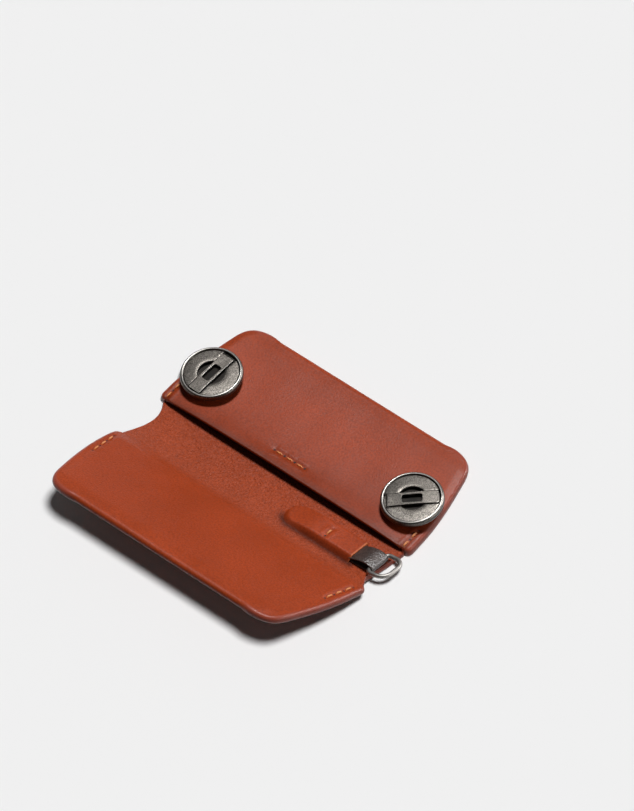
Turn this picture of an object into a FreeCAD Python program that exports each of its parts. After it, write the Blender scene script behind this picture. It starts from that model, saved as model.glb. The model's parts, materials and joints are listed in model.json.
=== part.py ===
"""Folding leather key case with two screw-capped key posts and a lanyard ring.

Millimetres, +Z up. The back cover lies flat on Z = 0 with the origin at the middle of its outer face.
X runs along the case. The spine and the front cover lie towards -Y and curl up from the back cover.
"""
import FreeCAD, Part
import math
import os

# Leather and stiffening boards
leather = 1.2
lining = 1.0
back_stiffener = 0.7
front_stiffener = 0.9
core_clearance = 0.2
edge_margin = 3.0
edge_round = 0.45

# Plan of a cover, half lengths measured from the middle of the case
back_width = 40.4
front_width = 42.5
case_half_length = 52.4
bow_draw = 0.6
bow_place_share = 0.35
free_end_draw = 3.8
corner_length = 11.1
corner_depth = 9.5
corner_bulge_shares = (0.74, 0.72)
spine_corner = 2.0
fold_draw = 0.6
fold_draw_run = 1.8

# Spine and the two folds
spine_width = 20.8
curl_deg = 28.0
spine_end_draw = 1.0
notch_depth = 2.7
fold_gap = 0.25
fold_edge_gap = 0.1
fold_bevel_deg = 14.0
tuck_length = 6.2
ramp_step = 0.4
ramp_length = 2.5

# Key posts
post_end_margin = 10.4
post_inset = 15.0
barrel_radius = 3.0
barrel_stand = 1.3
plate_thickness = 0.8
plate_radius = 4.4
plate_reach = 9.0
barrel_clearance = 0.05
thread_radius = 2.0
thread_clearance = 0.05
stud_reach = 3.0
washer_radius = 4.5
washer_thickness = 0.35
washer_clearance = 0.1
thrust_gap = 0.03

# Screw caps
cap_radius = 10.3
cap_height = 2.6
cap_foot_radius = 9.2
cap_foot_rise = 0.8
cap_wall_top = 1.7
rim_crown = 9.75
rim_inner = 9.15
groove_width = 0.3
groove_depth = 0.4
face_drop = 0.2
recess_radius = 4.65
press_clearance = 0.02
rivet_radius = 1.5
stud_shoulder_radius = 2.6
stud_shoulder = 0.45

# Flip handles
handle_length = 17.0
handle_width = 4.5
handle_thickness = 1.4
handle_clearance = 0.15
handle_corner = 0.5
window_length = 6.8
window_width = 3.1
window_corner = 0.9
pin_radius = 0.4
pin_length = 7.0
pin_clearance = 0.03
left_handle_deg = 267.4
right_handle_deg = 41.6

# Closure magnets
magnet_end_margin = 12.4
magnet_radius = 5.0
magnet_clearance = 0.1
magnet_inset = 26.0

# Lanyard tab, strap and ring
tab_end_margin = 12.4
tab_length = 28.0
tab_width = 9.4
tab_cover = 0.8
tab_round = 0.5
tab_nose = 1.3
tab_slope_length = 12.0
strap_leather = 0.7
strap_width = 7.0
strap_tail_length = 13.0
strap_clearance = 0.06
strap_parting = 3.4
seat_gap = 0.03
ring_bar_reach = 7.8
ring_bar_height = 2.1
ring_wire_radius = 0.8
ring_width = 9.2
ring_corner = 1.0
ring_depth = 6.8
ring_far_corner = 3.2
ring_droop_deg = 7.0
ring_clearance = 0.08

# Sewing thread
thread_thickness = 0.6
stitch_length = 3.0
stitch_pitch = 4.2
back_row_inset = 5.3
back_row_shift = 1.2
back_row_count = 3
back_end_inset = 2.8
back_end_start = 2.2
back_end_count = 2
front_end_inset = 2.7
front_end_start = 6.6
front_end_slant = 0.5
front_end_count = 3
tab_row_inset = 12.0
tab_row_count = 1

# One overrun serves every cut
overrun = 1.0

# Sizes that follow from the ones above
half_turn_deg = 180.0
full_turn_deg = 360.0
back_core = back_stiffener + plate_thickness
back_thickness = 2 * leather + back_core
front_thickness = 2 * leather + front_stiffener
spine_thickness = leather + lining
bow_half_length = case_half_length - bow_draw
free_half_length = case_half_length - free_end_draw
fold_half_length = free_half_length - corner_length
spine_end_half_length = case_half_length - spine_end_draw
post_half_spacing = case_half_length - post_end_margin
magnet_half_spacing = case_half_length - magnet_end_margin
tab_end = case_half_length - tab_end_margin
tab_start = tab_end - tab_length
strap_tail_start = tab_end - strap_tail_length
ring_bar_place = tab_end + ring_bar_reach
curl = math.radians(curl_deg)
spine_outer_radius = spine_width / curl
spine_inner_radius = spine_outer_radius - spine_thickness
spine_edge_y = -back_width / 2
fold_y = spine_edge_y - fold_gap
post_y = spine_edge_y + post_inset
barrel_top = back_thickness + barrel_stand
cap_bottom = barrel_top + washer_thickness + 2 * thrust_gap
cap_face = cap_height - face_drop
handle_bottom = cap_face - handle_thickness
slot_floor = handle_bottom - handle_clearance / 2
pin_height = cap_face - handle_thickness / 2
pin_place = handle_length / 2 - handle_thickness / 2
lining_sag = spine_inner_radius - math.sqrt(spine_inner_radius ** 2 - (strap_width / 2) ** 2)
strap_bottom = lining_sag + seat_gap
strap_top = strap_bottom + 2 * strap_leather
tab_top = strap_top + strap_clearance + tab_cover
thread_radius_of_sewing = thread_thickness / 2


def vec(x, y, z=0.0):
    return FreeCAD.Vector(x, y, z)


def line(a, b):
    return Part.makeLine(vec(*a), vec(*b))


def arc(a, b, c):
    return Part.Arc(vec(*a), vec(*b), vec(*c)).toShape()


def smooth(*points):
    """A curve through points that leaves along +Y and arrives along -X."""
    curve = Part.BSplineCurve()
    curve.interpolate([vec(*p) for p in points], InitialTangent=vec(0, 1), FinalTangent=vec(-1, 0))
    return curve.toShape()


def wire(edges):
    return Part.Wire(Part.__sortEdges__(edges))


def mirrored(edges):
    """The same edges on the other side of the YZ plane."""
    return [edge.mirror(vec(0, 0), vec(1, 0)) for edge in edges]


def prism(outline, bottom, top):
    face = Part.Face(outline)
    face.translate(vec(0, 0, bottom))
    return face.extrude(vec(0, 0, top - bottom))


def box(x_low, x_high, y_low, y_high, z_low, z_high):
    corner = vec(x_low, y_low, z_low)
    return Part.makeBox(x_high - x_low, y_high - y_low, z_high - z_low, corner)


def cylinder(radius, bottom, top, x=0.0, y=0.0):
    return Part.makeCylinder(radius, top - bottom, vec(x, y, bottom))


def turned(profile):
    """A solid of revolution about Z from (radius, height) points."""
    points = [vec(radius, 0, height) for radius, height in profile]
    face = Part.Face(Part.makePolygon(points + points[:1]))
    return face.revolve(vec(0, 0), vec(0, 0, 1), full_turn_deg)


# Plan outlines, with Y measured from the spine edge towards the folded edge

def cover_outline(width):
    """A cover's cut edge: bowed ends, round free corners and a folded edge drawn in a little."""
    corner_start = width - corner_depth
    fold_start = fold_half_length - fold_draw_run
    bulge_x, bulge_y = corner_bulge_shares
    bulge = (
        fold_half_length + (free_half_length - fold_half_length) * bulge_x,
        corner_start + corner_depth * bulge_y,
    )
    turn = spine_corner * (1 - math.sqrt(2) / 2)
    side = [
        arc(
            (case_half_length - spine_corner, 0),
            (case_half_length - turn, turn),
            (case_half_length, spine_corner),
        ),
        smooth(
            (case_half_length, spine_corner),
            (bow_half_length, width * bow_place_share),
            (free_half_length, corner_start),
            bulge,
            (fold_half_length, width),
        ),
        line((fold_half_length, width), (fold_start, width - fold_draw)),
    ]
    spine_end = case_half_length - spine_corner
    spine_edge = line((-spine_end, 0), (spine_end, 0))
    fold_edge = line((-fold_start, width - fold_draw), (fold_start, width - fold_draw))
    return wire(side + mirrored(side) + [spine_edge, fold_edge])


def core_outline(width, start, inset):
    """What fits between the two leather layers, from start to inset short of the folded edge."""
    corner_start = width - corner_depth
    spine_half = case_half_length - inset - free_end_draw * start / corner_start
    half = free_half_length - inset
    fold = fold_half_length - inset
    top = width - inset
    bulge_x, bulge_y = corner_bulge_shares
    bulge = (fold + (half - fold) * bulge_x, corner_start + (top - corner_start) * bulge_y)
    side = [
        line((spine_half, start), (half, corner_start)),
        arc((half, corner_start), bulge, (fold, top)),
    ]
    ends = [line((-spine_half, start), (spine_half, start)), line((-fold, top), (fold, top))]
    return wire(side + mirrored(side) + ends)


def on_cut_edge(edge, thickness):
    """True for a top or bottom edge of the cut ends and corners."""
    low, high = edge.BoundBox.ZMin, edge.BoundBox.ZMax
    if high - low > seat_gap:
        return False
    if seat_gap < low < thickness - seat_gap:
        return False
    return edge.BoundBox.XMax > fold_half_length or edge.BoundBox.XMin < -fold_half_length


def sleeve(width, thickness, core):
    """One cover's leather, folded over at its far edge and open towards the spine."""
    body = prism(cover_outline(width), 0, thickness)
    nose = width - fold_draw
    half_fold = fold_half_length - fold_draw_run
    radius = thickness / 2
    waste = box(-half_fold, half_fold, nose - radius, nose + overrun, -overrun, thickness + overrun)
    roll = Part.makeCylinder(radius, 2 * half_fold, vec(-half_fold, nose - radius, radius), vec(1, 0))
    body = body.cut(waste.cut(roll))
    edges = [edge for edge in body.Edges if on_cut_edge(edge, thickness)]
    body = body.makeFillet(edge_round, edges)
    return body.cut(prism(core_outline(width, -overrun, edge_margin), leather, leather + core))


# Placing pieces on the three parts of the case

def on_back(shape):
    """From a plan measured from the spine edge to the back cover."""
    shape.translate(vec(0, spine_edge_y))
    return shape


def on_front(shape):
    """From a plan measured from the spine edge to the front cover, which stands up by the curl."""
    shape.rotate(vec(0, 0), vec(0, 0, 1), half_turn_deg)
    shape.translate(vec(0, -fold_gap, -spine_thickness))
    shape.rotate(vec(0, 0), vec(1, 0), -curl_deg)
    shape.translate(spine_point(spine_inner_radius, curl))
    return shape


def on_spine(shape):
    """From a plan round the middle of the spine, with Z up from its lining."""
    shape.rotate(vec(0, 0), vec(1, 0), -curl_deg / 2)
    shape.translate(spine_point(spine_inner_radius, curl / 2))
    return shape


def spine_point(radius, angle):
    return vec(0, fold_y - radius * math.sin(angle), spine_outer_radius - radius * math.cos(angle))


# Covers

def back_sleeve():
    shape = on_back(sleeve(back_width, back_thickness, back_core))
    for x in (-post_half_spacing, post_half_spacing):
        hole_bottom = leather + back_core - overrun / 2
        hole = cylinder(barrel_radius + barrel_clearance, hole_bottom, back_thickness + overrun, x, post_y)
        shape = shape.cut(hole)
    return shape


def back_board():
    start = tuck_length + core_clearance
    outline = core_outline(back_width, start, edge_margin + core_clearance)
    return on_back(prism(outline, leather, leather + back_stiffener))


def lining_tuck():
    half = free_half_length - edge_margin - core_clearance
    return on_back(box(-half, half, 0, tuck_length, leather, spine_thickness))


def front_sleeve():
    shape = sleeve(front_width, front_thickness, front_stiffener)
    ramp = Part.makePolygon(
        [
            vec(-case_half_length - overrun, 0, spine_thickness + ramp_step),
            vec(-case_half_length - overrun, ramp_length, front_thickness),
            vec(-case_half_length - overrun, ramp_length, front_thickness + overrun),
            vec(-case_half_length - overrun, -overrun, front_thickness + overrun),
            vec(-case_half_length - overrun, -overrun, spine_thickness + ramp_step),
            vec(-case_half_length - overrun, 0, spine_thickness + ramp_step),
        ]
    )
    waste = Part.Face(ramp).extrude(vec(2 * (case_half_length + overrun), 0))
    return on_front(shape.cut(waste))


def front_board():
    outline = core_outline(front_width, core_clearance, edge_margin + core_clearance)
    shape = prism(outline, leather, leather + front_stiffener)
    for x in (-magnet_half_spacing, magnet_half_spacing):
        hole = cylinder(magnet_radius + magnet_clearance, 0, front_thickness, x, magnet_inset)
        shape = shape.cut(hole)
    return on_front(shape)


def closure_magnet(x):
    return on_front(cylinder(magnet_radius, leather, leather + front_stiffener, -x, magnet_inset))


# Spine

def spine_layer(outer, inner):
    """A curled strip between two depths from the spine's outer face, with bevelled folds and notched ends."""
    def end_angle(depth):
        gap = fold_edge_gap + (spine_thickness - depth) * math.tan(math.radians(fold_bevel_deg))
        return gap / (spine_outer_radius - depth)

    def bow(depth):
        radius = spine_outer_radius - depth
        end = end_angle(depth)
        return [spine_point(radius, angle) for angle in (end, curl / 2, curl - end)]

    under, over = bow(outer), bow(inner)
    edges = [
        Part.Arc(*under).toShape(),
        Part.Arc(*over).toShape(),
        Part.makeLine(under[0], over[0]),
        Part.makeLine(under[-1], over[-1]),
    ]
    face = Part.Face(wire(edges))
    face.translate(vec(-case_half_length, 0))
    strip = face.extrude(vec(2 * case_half_length, 0))
    front_y = spine_point(spine_inner_radius, curl).y
    middle_y = spine_point(spine_inner_radius, curl / 2).y
    end = [
        arc(
            (spine_end_half_length, fold_y),
            (spine_end_half_length - notch_depth, middle_y),
            (spine_end_half_length, front_y),
        )
    ]
    sides = [
        line((-spine_end_half_length, fold_y), (spine_end_half_length, fold_y)),
        line((-spine_end_half_length, front_y), (spine_end_half_length, front_y)),
    ]
    return strip.common(prism(wire(end + mirrored(end) + sides), -overrun, spine_outer_radius))


def lanyard_tab():
    """The raised leather pad over the strap's tails, round and thin at its free end."""
    half = tab_width / 2
    edges = [
        arc((tab_start + half, half), (tab_start, 0), (tab_start + half, -half)),
        line((tab_start + half, half), (tab_end, half)),
        line((tab_start + half, -half), (tab_end, -half)),
        line((tab_end, half), (tab_end, -half)),
    ]
    shape = prism(wire(edges), -overrun, tab_top)
    wedge = Part.makePolygon(
        [
            vec(tab_start, half + overrun, tab_nose),
            vec(tab_start + tab_slope_length, half + overrun, tab_top),
            vec(tab_start + tab_slope_length, half + overrun, tab_top + overrun),
            vec(tab_start - overrun, half + overrun, tab_top + overrun),
            vec(tab_start - overrun, half + overrun, tab_nose),
            vec(tab_start, half + overrun, tab_nose),
        ]
    )
    shape = shape.cut(Part.Face(wedge).extrude(vec(0, -2 * (half + overrun))))
    top_edges = [edge for edge in shape.Edges if edge.BoundBox.ZMin > tab_nose - seat_gap]
    inner_edges = [edge for edge in top_edges if edge.BoundBox.YLength < seat_gap]
    round_nose = [edge for edge in top_edges if edge.BoundBox.XMax < tab_start + half + seat_gap]
    shape = shape.makeFillet(tab_round, inner_edges + round_nose)
    tunnel_half = strap_width / 2 + strap_clearance
    tunnel_start = strap_tail_start - strap_clearance
    tunnel_top = strap_top + strap_clearance
    shape = shape.cut(box(tunnel_start, tab_end + overrun, -tunnel_half, tunnel_half, -2 * overrun, tunnel_top))
    bed = Part.makeCylinder(
        spine_inner_radius - seat_gap,
        tab_end + overrun,
        spine_point(0, 0),
        vec(1, 0),
    )
    return on_spine(shape).common(bed)


def tangent_point(point, centre, radius, side):
    """Where a line from a point touches a circle, both in the plane of the strap's edge."""
    reach = math.hypot(point[0] - centre[0], point[1] - centre[1])
    towards = math.atan2(point[1] - centre[1], point[0] - centre[0])
    angle = towards + side * math.acos(radius / reach)
    return (centre[0] + radius * math.cos(angle), centre[1] + radius * math.sin(angle))


def strap_loop():
    """A narrow strap folded round the ring's bar, with both tails under the tab."""
    bar = (ring_bar_place, ring_bar_height)
    eye_radius = ring_wire_radius + ring_clearance
    bend_radius = eye_radius + strap_leather
    parting = (tab_end + strap_parting, strap_bottom + strap_leather)

    def loop(low, high, radius):
        """Edges from a low start round the bar to a high start."""
        under = tangent_point(low, bar, radius, 1)
        over = tangent_point(high, bar, radius, -1)
        nose = (bar[0] + radius, bar[1])
        return [
            line((low[0], 0, low[1]), (under[0], 0, under[1])),
            arc((under[0], 0, under[1]), (nose[0], 0, nose[1]), (over[0], 0, over[1])),
            line((over[0], 0, over[1]), (high[0], 0, high[1])),
        ]

    low, high = (tab_end, strap_bottom), (tab_end, strap_top)
    tails = [
        line((strap_tail_start, 0, strap_bottom), (tab_end, 0, strap_bottom)),
        line((strap_tail_start, 0, strap_top), (tab_end, 0, strap_top)),
        line((strap_tail_start, 0, strap_bottom), (strap_tail_start, 0, strap_top)),
    ]
    outside = Part.Face(wire(tails + loop(low, high, bend_radius)))
    inside = Part.Face(wire(loop(parting, parting, eye_radius)))
    shape = outside.cut(inside)
    shape.translate(vec(0, -strap_width / 2))
    return on_spine(shape.extrude(vec(0, strap_width)))


def wire_bend(centre_x, centre_y, bend, start_deg, sweep_deg):
    """A stretch of the ring's wire that turns about a point of its plane."""
    place = vec(bend, 0)
    disc = Part.Face(Part.Wire(Part.makeCircle(ring_wire_radius, place, vec(0, 1))))
    stretch = disc.revolve(vec(0, 0), vec(0, 0, 1), sweep_deg)
    stretch.rotate(vec(0, 0), vec(0, 0, 1), start_deg)
    stretch.translate(vec(centre_x, centre_y))
    return stretch


def d_ring():
    """A wire ring with a straight bar in the strap and round corners at its far side."""
    half = ring_width / 2
    bar_end = half - ring_corner
    arm_end = ring_depth - ring_far_corner
    arm = arm_end - ring_corner
    far_half = half - ring_far_corner
    quarter_turn_deg = half_turn_deg / 2
    pieces = [
        Part.makeCylinder(ring_wire_radius, 2 * bar_end, vec(0, -bar_end), vec(0, 1)),
        Part.makeCylinder(ring_wire_radius, arm, vec(ring_corner, half), vec(1, 0)),
        Part.makeCylinder(ring_wire_radius, arm, vec(ring_corner, -half), vec(1, 0)),
        wire_bend(ring_corner, bar_end, ring_corner, quarter_turn_deg, quarter_turn_deg),
        wire_bend(ring_corner, -bar_end, ring_corner, half_turn_deg, quarter_turn_deg),
        wire_bend(arm_end, far_half, ring_far_corner, 0, quarter_turn_deg),
        wire_bend(arm_end, -far_half, ring_far_corner, -quarter_turn_deg, quarter_turn_deg),
        Part.makeCylinder(ring_wire_radius, 2 * far_half, vec(ring_depth, -far_half), vec(0, 1)),
    ]
    shape = pieces[0].fuse(pieces[1:]).removeSplitter()
    shape.rotate(vec(0, 0), vec(0, 1), ring_droop_deg)
    shape.translate(vec(ring_bar_place, 0, ring_bar_height))
    return on_spine(shape)


# Key posts

def on_post(shape, x, degrees=0.0):
    shape.rotate(vec(0, 0), vec(0, 0, 1), degrees)
    shape.translate(vec(x, post_y))
    return shape


def post_base(x):
    """A barrel on a long plate that spreads the pull inside the cover."""
    bottom = leather + back_stiffener
    top = bottom + plate_thickness
    inward = -math.copysign(plate_reach, x)
    edges = [
        arc((0, plate_radius), (-math.copysign(plate_radius, inward), 0), (0, -plate_radius)),
        arc(
            (inward, plate_radius),
            (inward + math.copysign(plate_radius, inward), 0),
            (inward, -plate_radius),
        ),
        line((0, plate_radius), (inward, plate_radius)),
        line((0, -plate_radius), (inward, -plate_radius)),
    ]
    shape = prism(wire(edges), bottom, top)
    shape = shape.fuse(cylinder(barrel_radius, bottom, barrel_top)).removeSplitter()
    return on_post(shape.cut(cylinder(thread_radius, bottom - overrun, barrel_top + overrun)), x)


def washer(x):
    bottom = barrel_top + thrust_gap
    ring = cylinder(washer_radius, bottom, bottom + washer_thickness)
    return on_post(ring.cut(cylinder(thread_radius + washer_clearance, 0, cap_bottom)), x)


def cap(x, degrees):
    """A round cap with a rolled rim, a slot for the flip handle and a finger recess under it."""
    face_radius = rim_inner - groove_width
    profile = [
        (0, 0),
        (cap_foot_radius, 0),
        (cap_radius, cap_foot_rise),
        (cap_radius, cap_wall_top),
        (rim_crown, cap_height),
        (rim_inner, cap_height),
        (rim_inner, cap_face - groove_depth),
        (face_radius, cap_face - groove_depth),
        (face_radius, cap_face),
        (0, cap_face),
    ]
    shape = turned(profile)
    slot_half = handle_length / 2 + handle_clearance
    slot_side = handle_width / 2 + handle_clearance
    above = cap_height + overrun
    shape = shape.cut(box(-slot_half, slot_half, -slot_side, slot_side, slot_floor, above))
    shape = shape.cut(cylinder(recess_radius, slot_floor, above))
    shape = shape.cut(cylinder(stud_shoulder_radius + press_clearance, -overrun, stud_shoulder))
    shape = shape.cut(cylinder(rivet_radius + press_clearance, 0, above))
    shape = shape.cut(pin_rod(pin_radius + press_clearance, pin_length + 2 * press_clearance))
    shape.translate(vec(0, 0, cap_bottom))
    return on_post(shape, x, degrees)


def pin_rod(radius, length):
    """The handle's pivot, across the slot near one end of the handle."""
    return Part.makeCylinder(radius, length, vec(-pin_place, -length / 2, pin_height), vec(0, 1))


def handle_pin(x, degrees):
    shape = pin_rod(pin_radius, pin_length)
    shape.translate(vec(0, 0, cap_bottom))
    return on_post(shape, x, degrees)


def handle(x, degrees):
    """A flat bar with a round pivot end and a window, flush in its slot."""
    top = cap_face
    half = handle_length / 2
    side = handle_width / 2
    shape = box(-pin_place, half, -side, side, handle_bottom, top)
    upright = [edge for edge in shape.Edges if edge.BoundBox.ZLength > handle_thickness - seat_gap]
    free_end = [edge for edge in upright if edge.BoundBox.XMin > 0]
    shape = shape.makeFillet(handle_corner, free_end)
    knuckle = Part.makeCylinder(
        handle_thickness / 2, handle_width, vec(-pin_place, -side, pin_height), vec(0, 1)
    )
    shape = shape.fuse(knuckle).removeSplitter()
    window = box(-window_length / 2, window_length / 2, -window_width / 2, window_width / 2,
                 handle_bottom - overrun, top + overrun)
    corners = [edge for edge in window.Edges if edge.BoundBox.ZLength > handle_thickness]
    shape = shape.cut(window.makeFillet(window_corner, corners))
    shape = shape.cut(pin_rod(pin_radius + pin_clearance, handle_width + 2 * overrun))
    shape.translate(vec(0, 0, cap_bottom))
    return on_post(shape, x, degrees)


def stud(x):
    """The threaded stud, with a shoulder under the cap and a riveted end in its recess."""
    bottom = -(washer_thickness + 2 * thrust_gap + stud_reach)
    shank = thread_radius - thread_clearance
    profile = [
        (0, bottom),
        (shank, bottom),
        (shank, 0),
        (stud_shoulder_radius, 0),
        (stud_shoulder_radius, stud_shoulder - press_clearance),
        (rivet_radius, stud_shoulder - press_clearance),
        (rivet_radius, slot_floor),
        (0, slot_floor),
    ]
    shape = turned(profile)
    shape.translate(vec(0, 0, cap_bottom))
    return on_post(shape, x)


# Sewing

def stitch_row(x, y, step_x, step_y, count, height):
    """Thread lying on a surface at a height, in stitches stepped from a first middle point."""
    stitches = []
    pitch = math.hypot(step_x, step_y)
    half_x = step_x / pitch * (stitch_length / 2 - thread_radius_of_sewing)
    half_y = step_y / pitch * (stitch_length / 2 - thread_radius_of_sewing)
    radius = thread_radius_of_sewing
    for index in range(count):
        middle = vec(x + index * step_x, y + index * step_y, height)
        ends = [middle - vec(half_x, half_y), middle + vec(half_x, half_y)]
        rod = Part.makeCylinder(radius, (ends[1] - ends[0]).Length, ends[0], ends[1] - ends[0])
        for end in ends:
            rod = rod.fuse(Part.makeSphere(radius, end))
        reach = stitch_length
        floor = box(middle.x - reach, middle.x + reach, middle.y - reach, middle.y + reach,
                    height - reach, height)
        stitches.append(rod.cut(floor).removeSplitter())
    return stitches


def back_stitches():
    row_start = -(back_row_count - 1) * stitch_pitch / 2 - back_row_shift
    found = stitch_row(row_start, back_row_inset, stitch_pitch, 0, back_row_count, back_thickness)
    for side in (-1, 1):
        x = side * (case_half_length - back_end_inset)
        found += stitch_row(x, back_end_start, 0, stitch_pitch, back_end_count, back_thickness)
    return on_back(Part.makeCompound(found))


def front_stitches():
    found = []
    for side in (-1, 1):
        x = side * (case_half_length - front_end_inset)
        slant = -side * front_end_slant
        found += stitch_row(x, front_end_start, slant, stitch_pitch, front_end_count, front_thickness)
    return on_front(Part.makeCompound(found))


def tab_stitches():
    row_start = -(tab_row_count - 1) * stitch_pitch / 2
    place = tab_end - tab_row_inset
    found = stitch_row(place, row_start, 0, stitch_pitch, tab_row_count, tab_top)
    return on_spine(Part.makeCompound(found))


def all_pieces():
    pieces = {
        "back_sleeve": back_sleeve(),
        "back_board": back_board(),
        "lining_tuck": lining_tuck(),
        "back_stitches": back_stitches(),
        "spine_outer": spine_layer(0, leather),
        "spine_lining": spine_layer(leather, spine_thickness),
        "lanyard_tab": lanyard_tab(),
        "strap_loop": strap_loop(),
        "tab_stitches": tab_stitches(),
        "d_ring": d_ring(),
        "front_sleeve": front_sleeve(),
        "front_board": front_board(),
        "front_stitches": front_stitches(),
    }
    posts = (
        ("left", -post_half_spacing, left_handle_deg),
        ("right", post_half_spacing, right_handle_deg),
    )
    for side, x, degrees in posts:
        pieces["post_base_" + side] = post_base(x)
        pieces["washer_" + side] = washer(x)
        pieces["cap_" + side] = cap(x, degrees)
        pieces["stud_" + side] = stud(x)
        pieces["handle_" + side] = handle(x, degrees)
        pieces["handle_pin_" + side] = handle_pin(x, degrees)
        pieces["closure_magnet_" + side] = closure_magnet(math.copysign(magnet_half_spacing, x))
    return pieces


def main():
    os.makedirs("parts", exist_ok=True)
    for name, shape in all_pieces().items():
        if not shape.isValid():
            raise ValueError(name + " is not a valid shape")
        shape.exportStep(os.path.join("parts", name + ".step"))
        print(name, len(shape.Solids), round(shape.Volume, 2))


main()
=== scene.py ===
"""Looks of a folding leather key case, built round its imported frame.

Leather is laid out flat in millimetres: x along the case, v across it from the back cover's mouth,
h up from the outer face. One mapping then curls the flat lay into the case's shape.
"""
import json
import math

import bmesh
import bpy
import numpy as np
from bpy.props import FloatProperty, FloatVectorProperty, PointerProperty
from mathutils import Matrix, Vector


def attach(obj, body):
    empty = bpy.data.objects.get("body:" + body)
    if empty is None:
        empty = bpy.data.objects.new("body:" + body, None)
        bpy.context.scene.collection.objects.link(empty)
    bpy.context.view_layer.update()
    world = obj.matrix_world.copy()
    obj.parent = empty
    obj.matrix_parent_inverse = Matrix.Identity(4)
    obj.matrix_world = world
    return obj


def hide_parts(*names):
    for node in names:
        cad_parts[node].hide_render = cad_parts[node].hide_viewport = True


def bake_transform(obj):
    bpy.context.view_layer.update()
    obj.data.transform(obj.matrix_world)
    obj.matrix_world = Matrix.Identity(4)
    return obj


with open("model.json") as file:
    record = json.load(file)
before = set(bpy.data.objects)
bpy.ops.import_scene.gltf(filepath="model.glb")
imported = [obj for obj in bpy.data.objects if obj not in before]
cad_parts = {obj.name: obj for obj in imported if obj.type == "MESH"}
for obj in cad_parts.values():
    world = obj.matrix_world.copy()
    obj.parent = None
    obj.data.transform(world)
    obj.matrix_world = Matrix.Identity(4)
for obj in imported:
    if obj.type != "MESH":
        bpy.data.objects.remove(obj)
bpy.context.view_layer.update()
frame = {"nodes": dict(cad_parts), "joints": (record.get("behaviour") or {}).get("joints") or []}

bl_info = {
    "name": "Key case looks",
    "version": (1, 0, 0),
    "blender": (4, 5, 0),
    "location": "3D View > Sidebar > Key case",
    "description": "Builds the leather, sewing and metalwork of a folding key case",
    "category": "Object",
}

JOINTS = {joint["name"]: joint for joint in frame["joints"]}
MM = 0.001
COVER_UNEVEN = 0.05
LINING_UNEVEN = 0.03


def length(name, millimetres, description):
    return FloatProperty(
        name=name, description=description, default=millimetres * MM, unit="LENGTH", precision=5
    )


def share(name, default, description):
    return FloatProperty(name=name, description=description, default=default, subtype="FACTOR")


def angle(name, degrees, description):
    return FloatProperty(
        name=name, description=description, default=math.radians(degrees), subtype="ANGLE"
    )


def colour(name, red, green, blue, description):
    """A colour written as eight-bit sRGB values."""
    values = [c / 255 for c in (red, green, blue)]
    linear = [c / 12.92 if c <= 0.04045 else ((c + 0.055) / 1.055) ** 2.4 for c in values]
    return FloatVectorProperty(
        name=name, description=description, default=linear, size=3, subtype="COLOR", min=0, max=1
    )


def number(name, default, description):
    return FloatProperty(name=name, description=description, default=default)


class CoverSizes(bpy.types.PropertyGroup):
    """Sizes of the two leather covers."""

    half_length: length("Half length", 52.4, "Half the length of a cover at the spine")
    back_width: length("Back width", 40.4, "Width of the back cover")
    front_width: length("Front width", 42.5, "Width of the front cover")
    back_thickness: length("Back thickness", 3.9, "Thickness of the back cover")
    front_thickness: length("Front thickness", 3.3, "Thickness of the front cover")
    leather: length("Leather", 1.2, "Thickness of the covers' leather")
    bow_draw: length("Bow draw", 0.6, "How far the ends draw in at a third of the width")
    free_draw: length("Free draw", 3.8, "How far the ends draw in at the free corners")
    corner_length: length("Corner length", 11.1, "Length of a free corner along the case")
    corner_depth: length("Corner depth", 9.5, "Depth of a free corner across the case")
    spine_corner: length("Spine corner", 2.0, "Radius of the corners at the spine")
    fold_draw: length("Fold draw", 0.4, "How far the folded edge draws in between the corners")
    edge_thinning: length("Edge thinning", 0.4, "How much thinner the cut ends are")
    mouth_arch: length("Mouth arch", 1.8, "How far the pocket's mouth bows up")
    pocket_depth: length("Pocket depth", 6.0, "Depth of the pocket behind its mouth")


class SpineSizes(bpy.types.PropertyGroup):
    """Sizes of the soft spine."""

    width: length("Width", 20.8, "Width of the spine along its outer face")
    curl: angle("Curl", 28.0, "How far the spine curls up between the covers")
    thickness: length("Thickness", 2.2, "Thickness of the spine with its lining")
    fold_gap: length("Fold gap", 0.25, "Flat run between a cover's edge and the fold")
    end_draw: length("End draw", 1.9, "How far the spine's ends stay behind the covers' ends")
    notch: length("Notch", 2.1, "Depth of the hollow in the spine's end away from the ring")
    notch_skew: share("Notch skew", 0.8, "How far the hollow leans towards the back cover")
    ring_end: length("Ring end", 4.0, "How far the end at the ring stays behind the front's end")


class TabSizes(bpy.types.PropertyGroup):
    """Sizes of the lanyard tab, its strap and the ring."""

    end: length("End", 40.0, "Where the tab's cut end lies along the case")
    length: length("Length", 30.0, "Length of the tab")
    width: length("Width", 10.8, "Width of the tab")
    top: length("Top", 2.4, "Height of the tab over the lining")
    nose: length("Nose", 1.0, "Height of the tab at its round end")
    near_run: length("Near run", 2.6, "Width of the tab's sloped edge towards the front cover")
    far_run: length("Far run", 0.9, "Width of the tab's sloped edge towards the back cover")
    strap_width: length("Strap width", 7.9, "Width of the strap")
    strap_leather: length("Strap leather", 0.7, "Thickness of the strap")
    bar_reach: length("Bar reach", 7.8, "From the tab's end to the ring's bar")
    bar_height: length("Bar height", 2.1, "Height of the ring's bar over the lining")
    wire_radius: length("Wire radius", 0.74, "Radius of the ring's wire")
    ring_width: length("Ring width", 10.2, "Width of the ring at the middle of its wire")
    ring_depth: length("Ring depth", 7.1, "Depth of the ring from bar to far side")
    ring_corner: length("Ring corner", 1.6, "Radius of the ring's corners at its bar")
    far_corner: length("Far corner", 3.7, "Radius of the ring's far corners")
    droop: angle("Droop", -9.0, "How far the ring hangs from the spine, negative when it is raised")


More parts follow.
